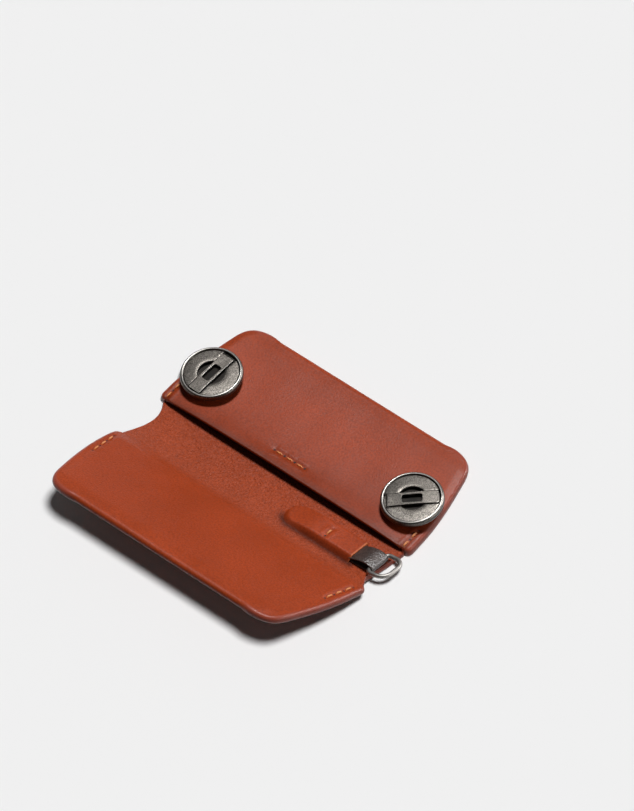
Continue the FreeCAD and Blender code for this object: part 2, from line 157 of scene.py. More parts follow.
class CapSizes(bpy.types.PropertyGroup):
    """Sizes of the screw caps and their flip handles."""

    height: length("Height", 2.6, "Height of a cap")
    face: length("Face", 2.4, "Height of the face at its middle")
    slot_floor: length("Slot floor", 0.925, "Height of the slot's floor")
    slot_length: length("Slot length", 17.9, "Length of the handle's slot")
    slot_width: length("Slot width", 5.3, "Width of the handle's slot")
    recess_radius: length("Recess radius", 4.65, "Radius of the finger recess")
    slot_shift: length("Slot shift", 0.2, "How far the slot lies to the side of the handle")
    crown: length("Crown", 0.28, "How far the face falls from its middle to its edge")
    edge_break: length("Edge break", 0.32, "Rounding of the cut edges")
    handle_break: length("Handle break", 0.32, "Rounding of the handles' edges")


class SewingSizes(bpy.types.PropertyGroup):
    """Sizes of the sewing."""

    pitch: length("Pitch", 4.2, "Distance from hole to hole")
    gap: length("Gap", 1.8, "Distance between the seen ends of two stitches")
    thread_radius: length("Thread radius", 0.3, "Radius of the thread")
    hole_radius: length("Hole radius", 0.38, "Radius of a needle hole")
    pull: length("Pull", 0.34, "How deep the thread pulls the leather in")
    mouth_x: length("Mouth x", -1.2, "Middle of the row at the mouth, along the case")
    mouth_inset: length("Mouth inset", 5.3, "Distance of that row from the mouth")
    back_inset: length("Back inset", 2.8, "Distance of the back's other rows from its ends")
    back_start: length("Back start", 2.2, "Middle of those rows' first stitch, from the mouth")
    front_inset: length("Front inset", 2.7, "Distance of the front's rows from its ends")
    front_start: length("Front start", 6.6, "Middle of those rows' first stitch, from the fold")
    front_lean: length("Front lean", 0.5, "How far those rows draw in from stitch to stitch")
    tab_inset: length("Tab inset", 12.0, "Distance of the tab's stitch from its cut end")


class Finish(bpy.types.PropertyGroup):
    """Colours of the finishes."""

    leather: colour("Leather", 157, 58, 18, "Smooth tan leather")
    lining: colour("Lining", 164, 67, 31, "Grained leather of the spine")
    edge: colour("Edge", 146, 68, 52, "Painted edge of the leather")
    raw: colour("Raw edge", 196, 104, 60, "Bare cut leather")
    strap: colour("Strap", 60, 45, 40, "Dark brown strap leather")
    thread: colour("Thread", 214, 132, 72, "Waxed sewing thread")
    # Painted shade: the colour of the shade inside a needle hole.
    hole: colour("Hole", 40, 18, 13, "Inside of a needle hole")
    gunmetal: colour("Gunmetal", 124, 119, 113, "Blasted gunmetal")
    # Also the blackened steel's own colour; on the caps it is painted shade in the hollows and
    # round the foot of the outer wall.
    steel_black_and_shade: colour("Soot", 38, 36, 34, "Dark deposit in the metal's hollows")
    worn: colour("Worn metal", 228, 224, 218, "Metal worn bright on edges")
    steel: colour("Steel", 156, 152, 148, "Satin nickel on steel")
    nylon: colour("Nylon", 30, 30, 31, "Black nylon")
    board: colour("Board", 96, 84, 70, "Stiffening board")
    floor: colour("Floor", 240, 240, 240, "Pale studio floor")


class StageSizes(bpy.types.PropertyGroup):
    """Camera and light."""

    elevation: angle("Elevation", 53.43, "Height of the camera above the back cover's plane")
    azimuth: angle("Azimuth", 48.5, "Turn of the camera round the case")
    roll: angle("Roll", -10.27, "Roll of the camera")
    distance: length("Distance", 2600.0, "Distance of the camera")
    pixels_per_mm: number("Pixels per millimetre", 3.15, "Scale at the aim point")
    aim_x: number("Aim x", 281.93, "Aim point in the picture")
    aim_y: number("Aim y", 473.16, "Aim point in the picture")
    fill: number("Fill", 0.05, "Strength of the even light")
    key: number("Key", 3.2, "Strength of the main light")
    side: number("Side", 1.0, "Strength of the light from the ring's end")
    rim: number("Rim", 2.4, "Strength of the glint from behind")
    key_spread: angle("Key spread", 13.0, "Apparent size of the main light")
    side_spread: angle("Side spread", 24.0, "Apparent size of the light from the ring's end")
    rim_spread: angle("Rim spread", 26.0, "Apparent size of the light that gives the glint")
    floor_key: number("Floor key", 3.253, "Strength of the floor's light")
    floor_spread: angle("Floor spread", 8.0, "Apparent size of the floor's light")
    floor_size: length("Floor size", 6000.0, "Side of the floor")
    floor_bounce: share("Floor bounce", 0.08, "Share of its light that the floor gives the case")


class KeyCase(bpy.types.PropertyGroup):
    """Everything that a user would change."""

    cover: PointerProperty(type=CoverSizes)
    spine: PointerProperty(type=SpineSizes)
    tab: PointerProperty(type=TabSizes)
    cap: PointerProperty(type=CapSizes)
    sewing: PointerProperty(type=SewingSizes)
    finish: PointerProperty(type=Finish)
    stage: PointerProperty(type=StageSizes)


class Sizes:
    """A property group's lengths in millimetres."""

    def __init__(self, group):
        self.group = group

    def __getattr__(self, name):
        return getattr(self.group, name) / MM


def key_case():
    return bpy.context.scene.key_case


def cover():
    return Sizes(key_case().cover)


def spine():
    return Sizes(key_case().spine)


def tab():
    return Sizes(key_case().tab)


def sewing():
    return Sizes(key_case().sewing)


# Curves and fields

def ease(value):
    """A smooth step from 0 to 1."""
    value = np.clip(value, 0, 1)
    return value * value * (3 - 2 * value)


def rounded(value, power):
    """A sine or cosine bent from a circle's towards a box's as the power rises over 2."""
    return np.sign(value) * np.abs(value) ** (2 / power)


def full_turn(count):
    """Angles all the way round, without the last one."""
    return np.linspace(0, 2 * math.pi, count, endpoint=False)


def xyz(x, y, z):
    """Points from their coordinates."""
    return np.stack(np.broadcast_arrays(x, y, z), axis=-1)


def spline(points, first, last, count=160):
    """A smooth curve through points, with the directions that it starts and ends in."""
    points = np.array(points, float)
    steps = np.linalg.norm(np.diff(points, axis=0), axis=1)
    size = len(points)
    system = np.zeros((size, size))
    target = np.zeros_like(points)
    system[0, 0] = system[-1, -1] = 1
    target[0], target[-1] = first, last
    for i in range(1, size - 1):
        before, after = 1 / steps[i - 1], 1 / steps[i]
        system[i, i - 1:i + 2] = before, 2 * (before + after), after
        target[i] = 3 * (
            (points[i] - points[i - 1]) * before ** 2 + (points[i + 1] - points[i]) * after ** 2
        )
    slopes = np.linalg.solve(system, target)
    found = []
    for i in range(size - 1):
        t = np.linspace(0, 1, count, endpoint=i == size - 2)[:, None]
        found.append(
            points[i] * (1 + 2 * t) * (1 - t) ** 2
            + slopes[i] * steps[i] * t * (1 - t) ** 2
            + points[i + 1] * t * t * (3 - 2 * t)
            - slopes[i + 1] * steps[i] * t * t * (1 - t)
        )
    return np.vstack(found)


def along(line, places):
    """Points at distances along a line of points."""
    run = np.r_[0, np.cumsum(np.linalg.norm(np.diff(line, axis=0), axis=1))]
    places = np.asarray(places, float)
    return np.stack([np.interp(places, run, line[:, k]) for k in range(line.shape[1])], axis=-1)


def run_length(line):
    return np.linalg.norm(np.diff(line, axis=0), axis=1).sum()


def graded(stops):
    """Places from (end, step) stretches, evenly spread over each stretch."""
    places = [np.zeros(1)]
    start = 0.0
    for end, step in stops:
        count = max(1, round((end - start) / step))
        places.append(np.linspace(start, end, count + 1)[1:])
        start = end
    return np.concatenate(places)


def ripple(x, v, seed):
    """A gentle unevenness of leather, about one unit high."""
    rng = np.random.default_rng(seed)
    total = np.zeros(np.broadcast(x, v).shape)
    for wave in (46.0, 31.0, 19.0, 12.0, 7.5):
        turn, phase = rng.uniform(0, 2 * math.pi, 2)
        weight = wave / 46.0
        across = (x * math.cos(turn) + v * math.sin(turn)) * 2 * math.pi / wave
        total = total + weight * np.sin(across + phase)
    return total


def spine_curl():
    """The spine's curl, the radii of its two faces and the y of the fold that it starts from."""
    size = spine()
    curl = size.group.curl
    outer = size.width / curl
    return curl, outer, outer - size.thickness, -cover().back_width / 2 - size.fold_gap


def spine_middle():
    """The v of the spine's middle line."""
    return -spine().fold_gap - spine().width / 2


def front_fold():
    """The v of the fold at the front cover."""
    return -(2 * spine().fold_gap + spine().width)


def curled(points):
    """Frame points of a flat lay (x, v, h)."""
    x, v, h = np.moveaxis(np.asarray(points, float), -1, 0)
    curl, radius, _, fold_y = spine_curl()
    run = -v - spine().fold_gap
    turn = np.clip(run / radius, 0, curl)
    beyond = np.maximum(run - spine().width, 0)
    before = np.minimum(run, 0)
    y = fold_y - before - (radius - h) * np.sin(turn) - beyond * math.cos(curl)
    z = radius - (radius - h) * np.cos(turn) + beyond * math.sin(curl)
    return xyz(x, y, z)


def on_spine(points):
    """Frame points of a plan round the middle of the spine, with height over its lining."""
    x, w, height = np.moveaxis(np.asarray(points, float), -1, 0)
    curl, radius, inner, fold_y = spine_curl()
    half = curl / 2
    y = fold_y - inner * math.sin(half) + w * math.cos(half) + height * math.sin(half)
    z = radius - inner * math.cos(half) - w * math.sin(half) + height * math.cos(half)
    return xyz(x, y, z)


def lining_rise(w):
    """Height of the lining over the plane that touches it at the middle of the spine."""
    inner = spine_curl()[2]
    return inner - np.sqrt(inner ** 2 - w ** 2)


# Meshes

class Skin:
    """Vertices and faces of one piece, gathered from grids."""

    def __init__(self):
        self.points, self.faces, self.fields = [], [], {}
        self.count = 0

    def add(self, points, **fields):
        """Adds an array of points and returns their numbers in the same layout."""
        points = np.asarray(points, float)
        layout = points.shape[:-1]
        size = int(np.prod(layout))
        self.points.append(points.reshape(-1, 3))
        for name, value in fields.items():
            flat = np.broadcast_to(value, layout).reshape(-1)
            self.fields.setdefault(name, []).append((self.count, flat))
        numbers = np.arange(self.count, self.count + size).reshape(layout)
        self.count += size
        return numbers

    def grid(self, numbers, close=False):
        """Faces over a layout of point numbers."""
        if close:
            numbers = np.concatenate([numbers, numbers[:, :1]], axis=1)
        corners = numbers[:-1, :-1], numbers[:-1, 1:], numbers[1:, 1:], numbers[1:, :-1]
        self.faces.append(np.stack(corners, axis=-1).reshape(-1, 4))

    def piece(self, name, material, place=None):
        """The finished object, its points in millimetres put in place."""
        flat = np.vstack(self.points)
        put = flat if place is None else place(flat)
        mesh = bpy.data.meshes.new(name)
        faces = [tuple(dict.fromkeys(face)) for face in np.vstack(self.faces).tolist()]
        mesh.from_pydata((put * MM).tolist(), [], [face for face in faces if len(face) > 2])
        for field, parts in self.fields.items():
            values = np.zeros(self.count, np.float32)
            for start, part in parts:
                values[start:start + len(part)] = part
            mesh.attributes.new(field, "FLOAT", "POINT").data.foreach_set("value", values)
        lay = mesh.attributes.new("lay", "FLOAT_VECTOR", "POINT")
        lay.data.foreach_set("vector", flat.astype(np.float32).ravel())
        return finished(name, mesh, material)


def finished(name, mesh, material, sharp_deg=70):
    """Cleans a mesh and links it as a smooth object."""
    work = bmesh.new()
    work.from_mesh(mesh)
    bmesh.ops.remove_doubles(work, verts=work.verts, dist=1e-6)
    bmesh.ops.recalc_face_normals(work, faces=work.faces)
    work.to_mesh(mesh)
    work.free()
    mesh.materials.append(material)
    mesh.shade_smooth()
    mesh.set_sharp_from_angle(angle=math.radians(sharp_deg))
    piece = bpy.data.objects.new(name, mesh)
    bpy.context.scene.collection.objects.link(piece)
    return piece


def flatten_shading(piece):
    """Keeps broad faces flat beside rounded edges."""
    shading = piece.modifiers.new("flat faces", "WEIGHTED_NORMAL")
    shading.keep_sharp = True
    shading.weight = 80


def swept(skin, path, section, across, closed=False):
    """A tube or ribbon along a path, with the section's points in the path's normal plane."""
    ahead = np.roll(path, -1, axis=0) - np.roll(path, 1, axis=0)
    if not closed:
        ahead[0], ahead[-1] = path[1] - path[0], path[-1] - path[-2]
    ahead /= np.linalg.norm(ahead, axis=1)[:, None]
    side = np.broadcast_to(np.array(across, float), path.shape)
    side = side - (side * ahead).sum(1)[:, None] * ahead
    side = side / np.linalg.norm(side, axis=1)[:, None]
    up = np.cross(ahead, side)
    section = np.broadcast_to(section, (len(path), *section.shape[-2:]))
    numbers = skin.add(
        path[:, None] + side[:, None] * section[..., :1] + up[:, None] * section[..., 1:]
    )
    if closed:
        numbers = np.vstack([numbers, numbers[:1]])
    skin.grid(numbers, close=True)
    if not closed:
        for end in (0, -1):
            hub = np.repeat(skin.add(path[end][None]), section.shape[1])
            skin.grid(np.vstack([hub, numbers[end]]), close=True)


def round_section(radius, count):
    turn = full_turn(count)
    return np.stack([radius * np.cos(turn), radius * np.sin(turn)], axis=-1)


def strap_section(width, thickness, count):
    """A flat section with soft edges."""
    turn = full_turn(count)
    flat, thick = rounded(np.cos(turn), 5.0), rounded(np.sin(turn), 2.6)
    return np.stack([flat * width / 2, thick * thickness / 2], axis=-1)


# Sewing places, in the flat lay

def back_rows():
    """Stitch middles, directions and depths on the back cover."""
    size, half = sewing(), cover().half_length
    deep, shallow = 1.8, 1.0
    found = []
    for step in (-1, 0, 1):
        found.append(((size.mouth_x + step * size.pitch, size.mouth_inset), (1.0, 0.0), deep))
    for side in (-1, 1):
        for step in (0, 1):
            middle = (side * (half - size.back_inset), size.back_start + step * size.pitch)
            found.append((middle, (0.0, 1.0), shallow))
    return found


def front_rows():
    """Stitch middles, directions and depths on the front cover, across it from the fold."""
    size, half = sewing(), cover().half_length
    lean, depth = size.front_lean, 1.1
    run = math.hypot(lean, size.pitch)
    found = []
    for side in (-1, 1):
        for step in (0, 1, 2):
            x = side * (half - size.front_inset - lean * step)
            middle = (x, size.front_start + step * size.pitch)
            found.append((middle, (-side * lean / run, size.pitch / run), depth))
    return found


def tab_rows():
    """The one stitch on the tab, in the plan round the middle of the spine."""
    return [((tab().end - sewing().tab_inset, 0.0), (0.0, 1.0), 1.0)]


def hole_places(rows):
    """Both ends of every stitch, hole to hole."""
    reach = sewing().pitch / 2
    ends = [
        np.array(middle) + sign * reach * np.array(way)
        for middle, way, _ in rows
        for sign in (-1, 1)
    ]
    return np.array(ends)


def pulled(x, v, rows):
    """How far the sewing pulls the leather in at places of the flat lay."""
    groove, tail, pit, line_share = 0.75, 0.7, 0.6, 0.55
    swell_off, swell_width, swell_share = 1.5, 0.7, 0.4
    reach = sewing().pitch / 2
    depth = np.zeros(np.broadcast(x, v).shape)
    swell = np.zeros_like(depth)
    for (mid_x, mid_v), (way_x, way_v), sink in rows:
        run = (x - mid_x) * way_x + (v - mid_v) * way_v
        off = (x - mid_x) * way_v - (v - mid_v) * way_x
        past = np.abs(run) - reach
        line = np.exp(-(off / groove) ** 2 - (np.maximum(past, 0) / tail) ** 2)
        holes = np.exp(-(past / pit) ** 2 - (off / pit) ** 2)
        depth = np.maximum.reduce([depth, line_share * sink * line, holes])
        sides = np.exp(-((np.abs(off) - swell_off) / swell_width) ** 2 - (run / reach) ** 4)
        swell = np.maximum(swell, sides)
    return (depth - swell_share * swell) * sewing().pull


# Covers

def side_outline(width):
    """The cut edge from the spine round the free corner, as (x, across)."""
    size = cover()
    bow_place, bulge_along, bulge_across = 0.35, 0.74, 0.72
    half, corner = size.half_length, size.spine_corner
    turn = np.linspace(-math.pi / 2, 0, 12, endpoint=False)
    first = np.stack(
        [half - corner + corner * np.cos(turn), corner + corner * np.sin(turn)], axis=-1
    )
    free = half - size.free_draw
    fold = free - size.corner_length
    start = width - size.corner_depth
    points = [
        (half, corner),
        (half - size.bow_draw, width * bow_place),
        (free, start),
        (fold + (free - fold) * bulge_along, start + size.corner_depth * bulge_across),
        (fold, width),
    ]
    return np.vstack([first, spline(points, (0, 1), (-1, 0))])


def column_shares():
    """Places of a cover's columns from one end to the other, closer where it is sewn."""
    half, sewn, edge = cover().half_length, 9.0, 1.0
    places = graded([(sewn, 0.5), (half - sewn, 1.0), (half - edge, 0.4), (half, 0.25)]) / half
    return np.r_[-places[:0:-1], places]


class CoverPlan:
    """Rows and columns of a cover in the flat lay, with what its edge needs."""

    def __init__(self, width):
        size = cover()
        line = side_outline(width)
        reach = run_length(line)
        places = graded([(20.0, 0.5), (reach - 18.0, 1.0), (reach, 0.5)])
        self.width = width
        self.outline = along(line, places)
        ahead = np.gradient(self.outline, axis=0)
        ahead /= np.linalg.norm(ahead, axis=1)[:, None]
        normal = np.stack([ahead[:, 1], -ahead[:, 0]], axis=-1)
        normal[normal[:, 1] < 0] = (1, 0)
        self.normal = normal
        self.fold = size.half_length - size.free_draw - size.corner_length
        self.shares = column_shares()

    def inset(self, thickness):
        """Grid of (x, across) inside the rounded edge, and the depth of that edge by row."""
        cut_depth, roll_run, draw_start, draw_run = 1.3, 4, 12, 9
        rolled = ease((self.outline[:, 1] - self.width + roll_run) / roll_run)
        depth = cut_depth + (thickness / 2 - cut_depth) * rolled
        edge = self.outline - self.normal * depth[:, None]
        x = edge[:, :1] * self.shares
        near_fold = ease((edge[:, 1:] - self.width + draw_start) / draw_run)
        drawn = cover().fold_draw * self.between_corners(x)
        return x, edge[:, 1:] - near_fold * drawn, depth

    def between_corners(self, x):
        """1 along the folded edge, easing to 0 at the free corners."""
        overlap, run = 1.0, 5.0
        return ease((self.fold + overlap - np.abs(x)) / run)

    def end_distance(self, x, across):
        """Distance from the nearer cut end, along the case."""
        reach = np.interp(across, self.outline[:, 1], self.outline[:, 0])
        return reach - np.abs(x)


def mouth_bow(x):
    """1 at the middle of the pocket's mouth, falling to 0 at its ends."""
    half_mouth = 50.0
    return np.clip(1 - (x / half_mouth) ** 4, 0, 1)


def back_top(plan, x, across):
    """Height of the back cover's inner face."""
    size, seam = cover(), sewing()
    thin_run, arch_run, arch_power = 3.5, 7.0, 1.6
    dip, dip_width, dip_length = 0.25, 2.4, 13.0
    end = plan.end_distance(x, across)
    top = size.back_thickness - size.edge_thinning * (1 - ease(end / thin_run))
    arch = np.exp(-(np.maximum(across, 0) / arch_run) ** arch_power)
    top = top + size.mouth_arch * mouth_bow(x) * arch
    sunk = np.exp(-((across - seam.mouth_inset) / dip_width) ** 2)
    top = top - dip * sunk * np.exp(-((x - seam.mouth_x) / dip_length) ** 2)
    top = top - fold_fall(plan, across)
    return top + COVER_UNEVEN * ripple(x, across, 3) * ease(end / 4)


def fold_fall(plan, across):
    """How far a cover's inner face falls towards its folded edge."""
    fall, start, run = 0.45, 1.0, 6.0
    return fall * (1 - ease((plan.width - across - start) / run))


def front_top(plan, x, across):
    """Height of the front cover's inner face, which runs down to the lining at the fold."""
    size, lay = cover(), spine()
    thin_start, thin_run, ramp_start, ramp_run = 1.5, 4.5, 1.6, 6.2
    swell, swell_place, swell_width, swell_start, swell_run = 0.12, 8.5, 2.2, 18, 10
    end = plan.end_distance(x, across)
    full = size.front_thickness - size.edge_thinning * (1 - ease((end - thin_start) / thin_run))
    top = lay.thickness + (full - lay.thickness) * ease((across + ramp_start) / ramp_run)
    ridge = swell * np.exp(-((end - swell_place) / swell_width) ** 2)
    top = top + ridge * ease((across - plan.width + swell_start) / swell_run)
    top = top - fold_fall(plan, across)
    return top + COVER_UNEVEN * ripple(x, across, 8) * ease(end / 4) * ease(across / 6)


def edge_strip(skin, top, bottom, normals, depths, powers, **fields):
    """The rounded edge between a top and a bottom line of points."""
    steps = 10
    placed = np.vstack(skin.points)
    high, low = placed[top], placed[bottom]
    middle, half = (high + low) / 2, (high[:, 2] - low[:, 2]) / 2
    rows = [top]
    for turn in np.linspace(math.pi / 2, -math.pi / 2, steps + 1)[1:-1]:
        points = middle.copy()
        points[:, :2] += normals * (depths * math.cos(turn) ** (2 / powers))[:, None]
        points[:, 2] += half * rounded(math.sin(turn), powers)
        rows.append(skin.add(points, **fields))
    rows.append(bottom)
    skin.grid(np.array(rows))


def spine_half_length(v, at_ring):
    """Where an end of the spine lies, by place across the lay.

    At the ring it steps in beside the front cover and slants out towards the back cover. The other
    end is hollow.
    """
    size, lay = cover(), spine()
    step_run, slant_power = 4.5, 2.2
    part = np.clip((v - spine_middle()) / (lay.width / 2), -1, 1)
    if at_ring:
        stepped = ease((1 + part) * lay.width / 2 / step_run)
        near = size.spine_corner + (lay.ring_end - size.spine_corner) * stepped
        slant = ((1 + part) / 2) ** slant_power
        return size.half_length - near + (lay.ring_end - lay.end_draw) * slant
    hollow = lay.notch * (1 - part ** 2) * (1 + lay.group.notch_skew * part)
    return size.half_length - lay.end_draw - hollow


def foot_shade(w):
    """How much painted shade the tab's foot gets, across the spine: only on the front cover's side.
    """
    darkest, start, run = 0.85, 1.0, 5.0
    return darkest * ease((start - w) / run)


def tab_foot_shade(x, w):
    """Painted shade on the lining along the tab's foot."""
    size = tab()
    half, spread, past_end, fade = size.width / 2, 1.4, 3.0, 2.0
    off = np.hypot(np.minimum(x - size.end + size.length - half, 0), w) - half
    beside = foot_shade(w) * ease((size.end + past_end - x) / fade)
    return beside * np.exp(-(np.maximum(off, 0) / spread) ** 1.5)


def cover_skin(is_back):
    """One cover with its half of the spine, as a closed leather form in the flat lay."""
    size = cover()
    width = size.back_width if is_back else size.front_width
    thickness = size.back_thickness if is_back else size.front_thickness
    fold, way = (0.0, 1) if is_back else (front_fold(), -1)
    end_depth, fold_room, row_step, cut_power, roll_drop = 0.5, 0.3, 0.7, 2.4, 0.4
    plan = CoverPlan(width)
    x, across, depth = plan.inset(thickness)
    first, last = spine_middle(), fold - way * fold_room
    run = np.linspace(first, last, max(2, round(abs(last - first) / row_step)) + 1)
    far_end, ring_end = (
        spine_half_length(run, at_ring)[:, None] - end_depth for at_ring in (False, True)
    )
    spine_x = np.where(plan.shares > 0, ring_end, far_end) * plan.shares
    spine_v = np.repeat(run[:, None], len(plan.shares), axis=1)
    all_x = np.concatenate([spine_x, x])
    all_v = np.concatenate([spine_v, fold + way * across])
    skin = Skin()
    bottom = skin.add(xyz(all_x, all_v, 0.0), grain=0.25)
    if is_back:
        top = back_inside(skin, plan, spine_x, spine_v, x, across)
    else:
        top = front_inside(skin, plan, all_x, all_v, (all_v - fold) * way)
    skin.grid(bottom)
    skin.grid(np.stack([top[0], bottom[0]]))
    normals = np.concatenate([np.tile((1.0, 0.0), (len(run), 1)), plan.normal])
    depths = np.r_[np.full(len(run), end_depth), depth]
    powers = np.full(len(depths), cut_power)
    for column, side in ((-1, 1), (0, -1)):
        ways = normals * (side, way)
        edge_strip(
            skin, top[:, column], bottom[:, column], ways, depths, powers, grain=0.1, edge=1.0
        )
    rolled = plan.between_corners(x[-1])
    ways = np.tile((0.0, way), (len(rolled), 1))
    depths = np.full(len(rolled), depth[-1])
    powers = cut_power - roll_drop * rolled
    edge_strip(skin, top[-1], bottom[-1], ways, depths, powers, grain=0.15, edge=1 - rolled)
    return skin


def back_inside(skin, plan, spine_x, spine_v, x, across):
    """The back cover's inner face, the mouth of its pocket and its half of the lining."""
    lip_run, lip_rows, mouth_darkening, mouth_run = 0.5, 1.5, 0.3, 13.0
    lip_shade, lip_width, fold_darkening, fold_start, fold_run = 0.35, 1.7, 0.12, 24.0, 10.0
    lining_shade_peak, lining_shade_start, lining_shade_run = 0.7, 1.9, 1.5
    height = back_top(plan, x, across) - pulled(x, across, back_rows())
    lining = spine().thickness + LINING_UNEVEN * ripple(spine_x, spine_v, 5)
    lip_pull = np.exp(-np.arange(len(x)) / lip_rows)[:, None]
    across = across + np.maximum(lip_run - across[:1], 0) * lip_pull
    # Darker towards the mouth and towards the folded edge; the darkening at the lip is painted
    # shade of the mouth's gap.
    inner_darkening = mouth_darkening * np.exp(-(across / mouth_run) ** 2)
    inner_darkening = inner_darkening + lip_shade * np.exp(-(across / lip_width) ** 2)
    inner_darkening = inner_darkening + fold_darkening * ease((across - fold_start) / fold_run)
    inner = skin.add(xyz(x, across, height), grain=0.06, dark=inner_darkening)
    # Painted shade on the lining in front of the pocket's mouth, fading towards the mouth's ends.
    lining_shade = lining_shade_peak * ease((spine_v + lining_shade_start) / lining_shade_run) * mouth_bow(spine_x)
    lined = skin.add(xyz(spine_x, spine_v, lining), grain=1.0, dark=lining_shade)
    skin.grid(inner)
    skin.grid(lined)
    pocket(skin, x[0], across[0], height[0], inner[0], lined[-1])
    return np.concatenate([lined, inner])


def front_inside(skin, plan, x, v, across):
    """The front cover's inner face and its half of the lining, in one sheet."""
    smoothness, grain_start, grain_run, uneven_run = 0.94, 1.5, 7.0, 4
    height = front_top(plan, x, across) - pulled(x, across, front_rows())
    lining = 1 - ease(across / uneven_run + 1)
    height = height + LINING_UNEVEN * ripple(x, v, 5) * lining
    grain = 1 - smoothness * ease((across + grain_start) / grain_run)
    # Painted shade on the lining beside the tab's foot.
    crease = tab_foot_shade(x, v - spine_middle())
    face = skin.add(xyz(x, v, height), grain=grain, dark=crease)
    skin.grid(face)
    return face


def pocket(skin, x, across, top, lip, lining_edge):
    """The mouth of the back cover's pocket, from its lip down to the lining."""
    size, level = cover(), spine().thickness
    roof, lip_out, lip_power = level + 0.02, 0.5, 0.8
    # The lip's rounded edge, the pocket's inside and its lining are painted dark, darkest inside:
    # painted shade of the mouth's gap.
    lip_dark, under_dark, lining_dark, dark_run = 0.4, 0.95, 0.7, 1.5
    below = np.maximum(top - size.leather, roof)
    half, middle = (top - below) / 2, (top + below) / 2
    rows = [lip]
    for turn in np.linspace(math.pi / 2, -math.pi / 2, 8)[1:]:
        sine = math.sin(turn)
        out = lip_out * math.cos(turn) ** lip_power
        dark = lip_dark + (under_dark - lip_dark) * ease((1 - sine) / 1.2)
        rows.append(skin.add(xyz(x, across - out, middle + half * sine), grain=0.15, dark=dark))
    for deep in np.linspace(0, size.pocket_depth, 7)[1:]:
        height = roof + (below - roof) * (1 - ease(deep / size.pocket_depth))
        rows.append(skin.add(xyz(x, across + deep, height), grain=0.3, dark=1.0))
    for deep in np.linspace(size.pocket_depth, 0, 7):
        dark = lining_dark + (1 - lining_dark) * ease(deep / dark_run)
        rows.append(skin.add(xyz(x, across + deep, level), grain=1.0, dark=dark))
    rows.append(lining_edge)
    skin.grid(np.array(rows))


# Materials

class Shader:
    """A material whose nodes are added and linked by short calls."""

    def __init__(self, name):
        self.material = bpy.data.materials.new(name)
        self.material.use_nodes = True
        self.tree = self.material.node_tree
        self.surface = self.tree.nodes["Principled BSDF"]

    def put(self, socket, value):
        if isinstance(value, bpy.types.NodeSocket):
            self.tree.links.new(value, socket)
        else:
            socket.default_value = value

    def node(self, kind, inputs=None, output=0, **settings):
        node = self.tree.nodes.new("ShaderNode" + kind)
        for name, value in settings.items():
            setattr(node, name, value)
        for name, value in (inputs or {}).items():
            self.put(node.inputs[name], value)
        return node.outputs[output]

    def field(self, name, output="Fac"):
        return self.node("Attribute", attribute_name=name, output=output)

    def lay(self):
        """Places in the flat lay, in millimetres."""
        return self.field("lay", "Vector")

    def solid(self):
        """Places on a rigid piece, in millimetres."""
        place = self.node("TexCoord", output="Object")
        return self.node("VectorMath", {0: place, "Scale": 1 / MM}, operation="SCALE")

    def noise(self, place, scale, detail=3.0, rough=0.5):
        inputs = {"Vector": place, "Scale": scale, "Detail": detail, "Roughness": rough}
        return self.node("TexNoise", inputs)

    def cells(self, place, scale, smooth):
        inputs = {"Vector": place, "Scale": scale, "Smoothness": smooth}
        return self.node("TexVoronoi", inputs, feature="SMOOTH_F1")

    def math(self, operation, first, second):
        return self.node("Math", {0: first, 1: second}, operation=operation)

    def times(self, first, second):
        return self.math("MULTIPLY", first, second)

    def plus(self, first, second):
        return self.math("ADD", first, second)

    def remap(self, value, low, high, to_low=0.0, to_high=1.0):
        inputs = {"From Min": low, "From Max": high, "To Min": to_low, "To Max": to_high}
        return self.node("MapRange", {"Value": value, **inputs})

    def mix(self, factor, first, second):
        node = self.tree.nodes.new("ShaderNodeMix")
        node.data_type = "RGBA"
        self.put(node.inputs["Factor"], factor)
        for name, value in (("A", first), ("B", second)):
            socket = next(s for s in node.inputs if s.name == name and s.type == "RGBA")
            self.put(socket, value)
        return next(s for s in node.outputs if s.type == "RGBA")

    def mottled(self, value, rgb, dark, light, low=0.3, high=0.7):
        """A colour that runs from a darker to a lighter shade as a value rises."""
        return self.mix(self.remap(value, low, high), shade(rgb, dark), shade(rgb, light))

    def bump(self, height, millimetres, strength=1.0, normal=None):
        inputs = {"Height": height, "Distance": millimetres * MM, "Strength": strength}
        if normal is not None:
            inputs["Normal"] = normal
        return self.node("Bump", inputs)

    def finish(self, **inputs):
        names = {
            "base": "Base Color", "rough": "Roughness", "normal": "Normal", "metal": "Metallic",
            "specular": "Specular IOR Level",
        }
        for key, value in inputs.items():
            self.put(self.surface.inputs[names[key]], value)
        return self.material


def shade(rgb, factor):
    return (rgb[0] * factor, rgb[1] * factor, rgb[2] * factor, 1.0)


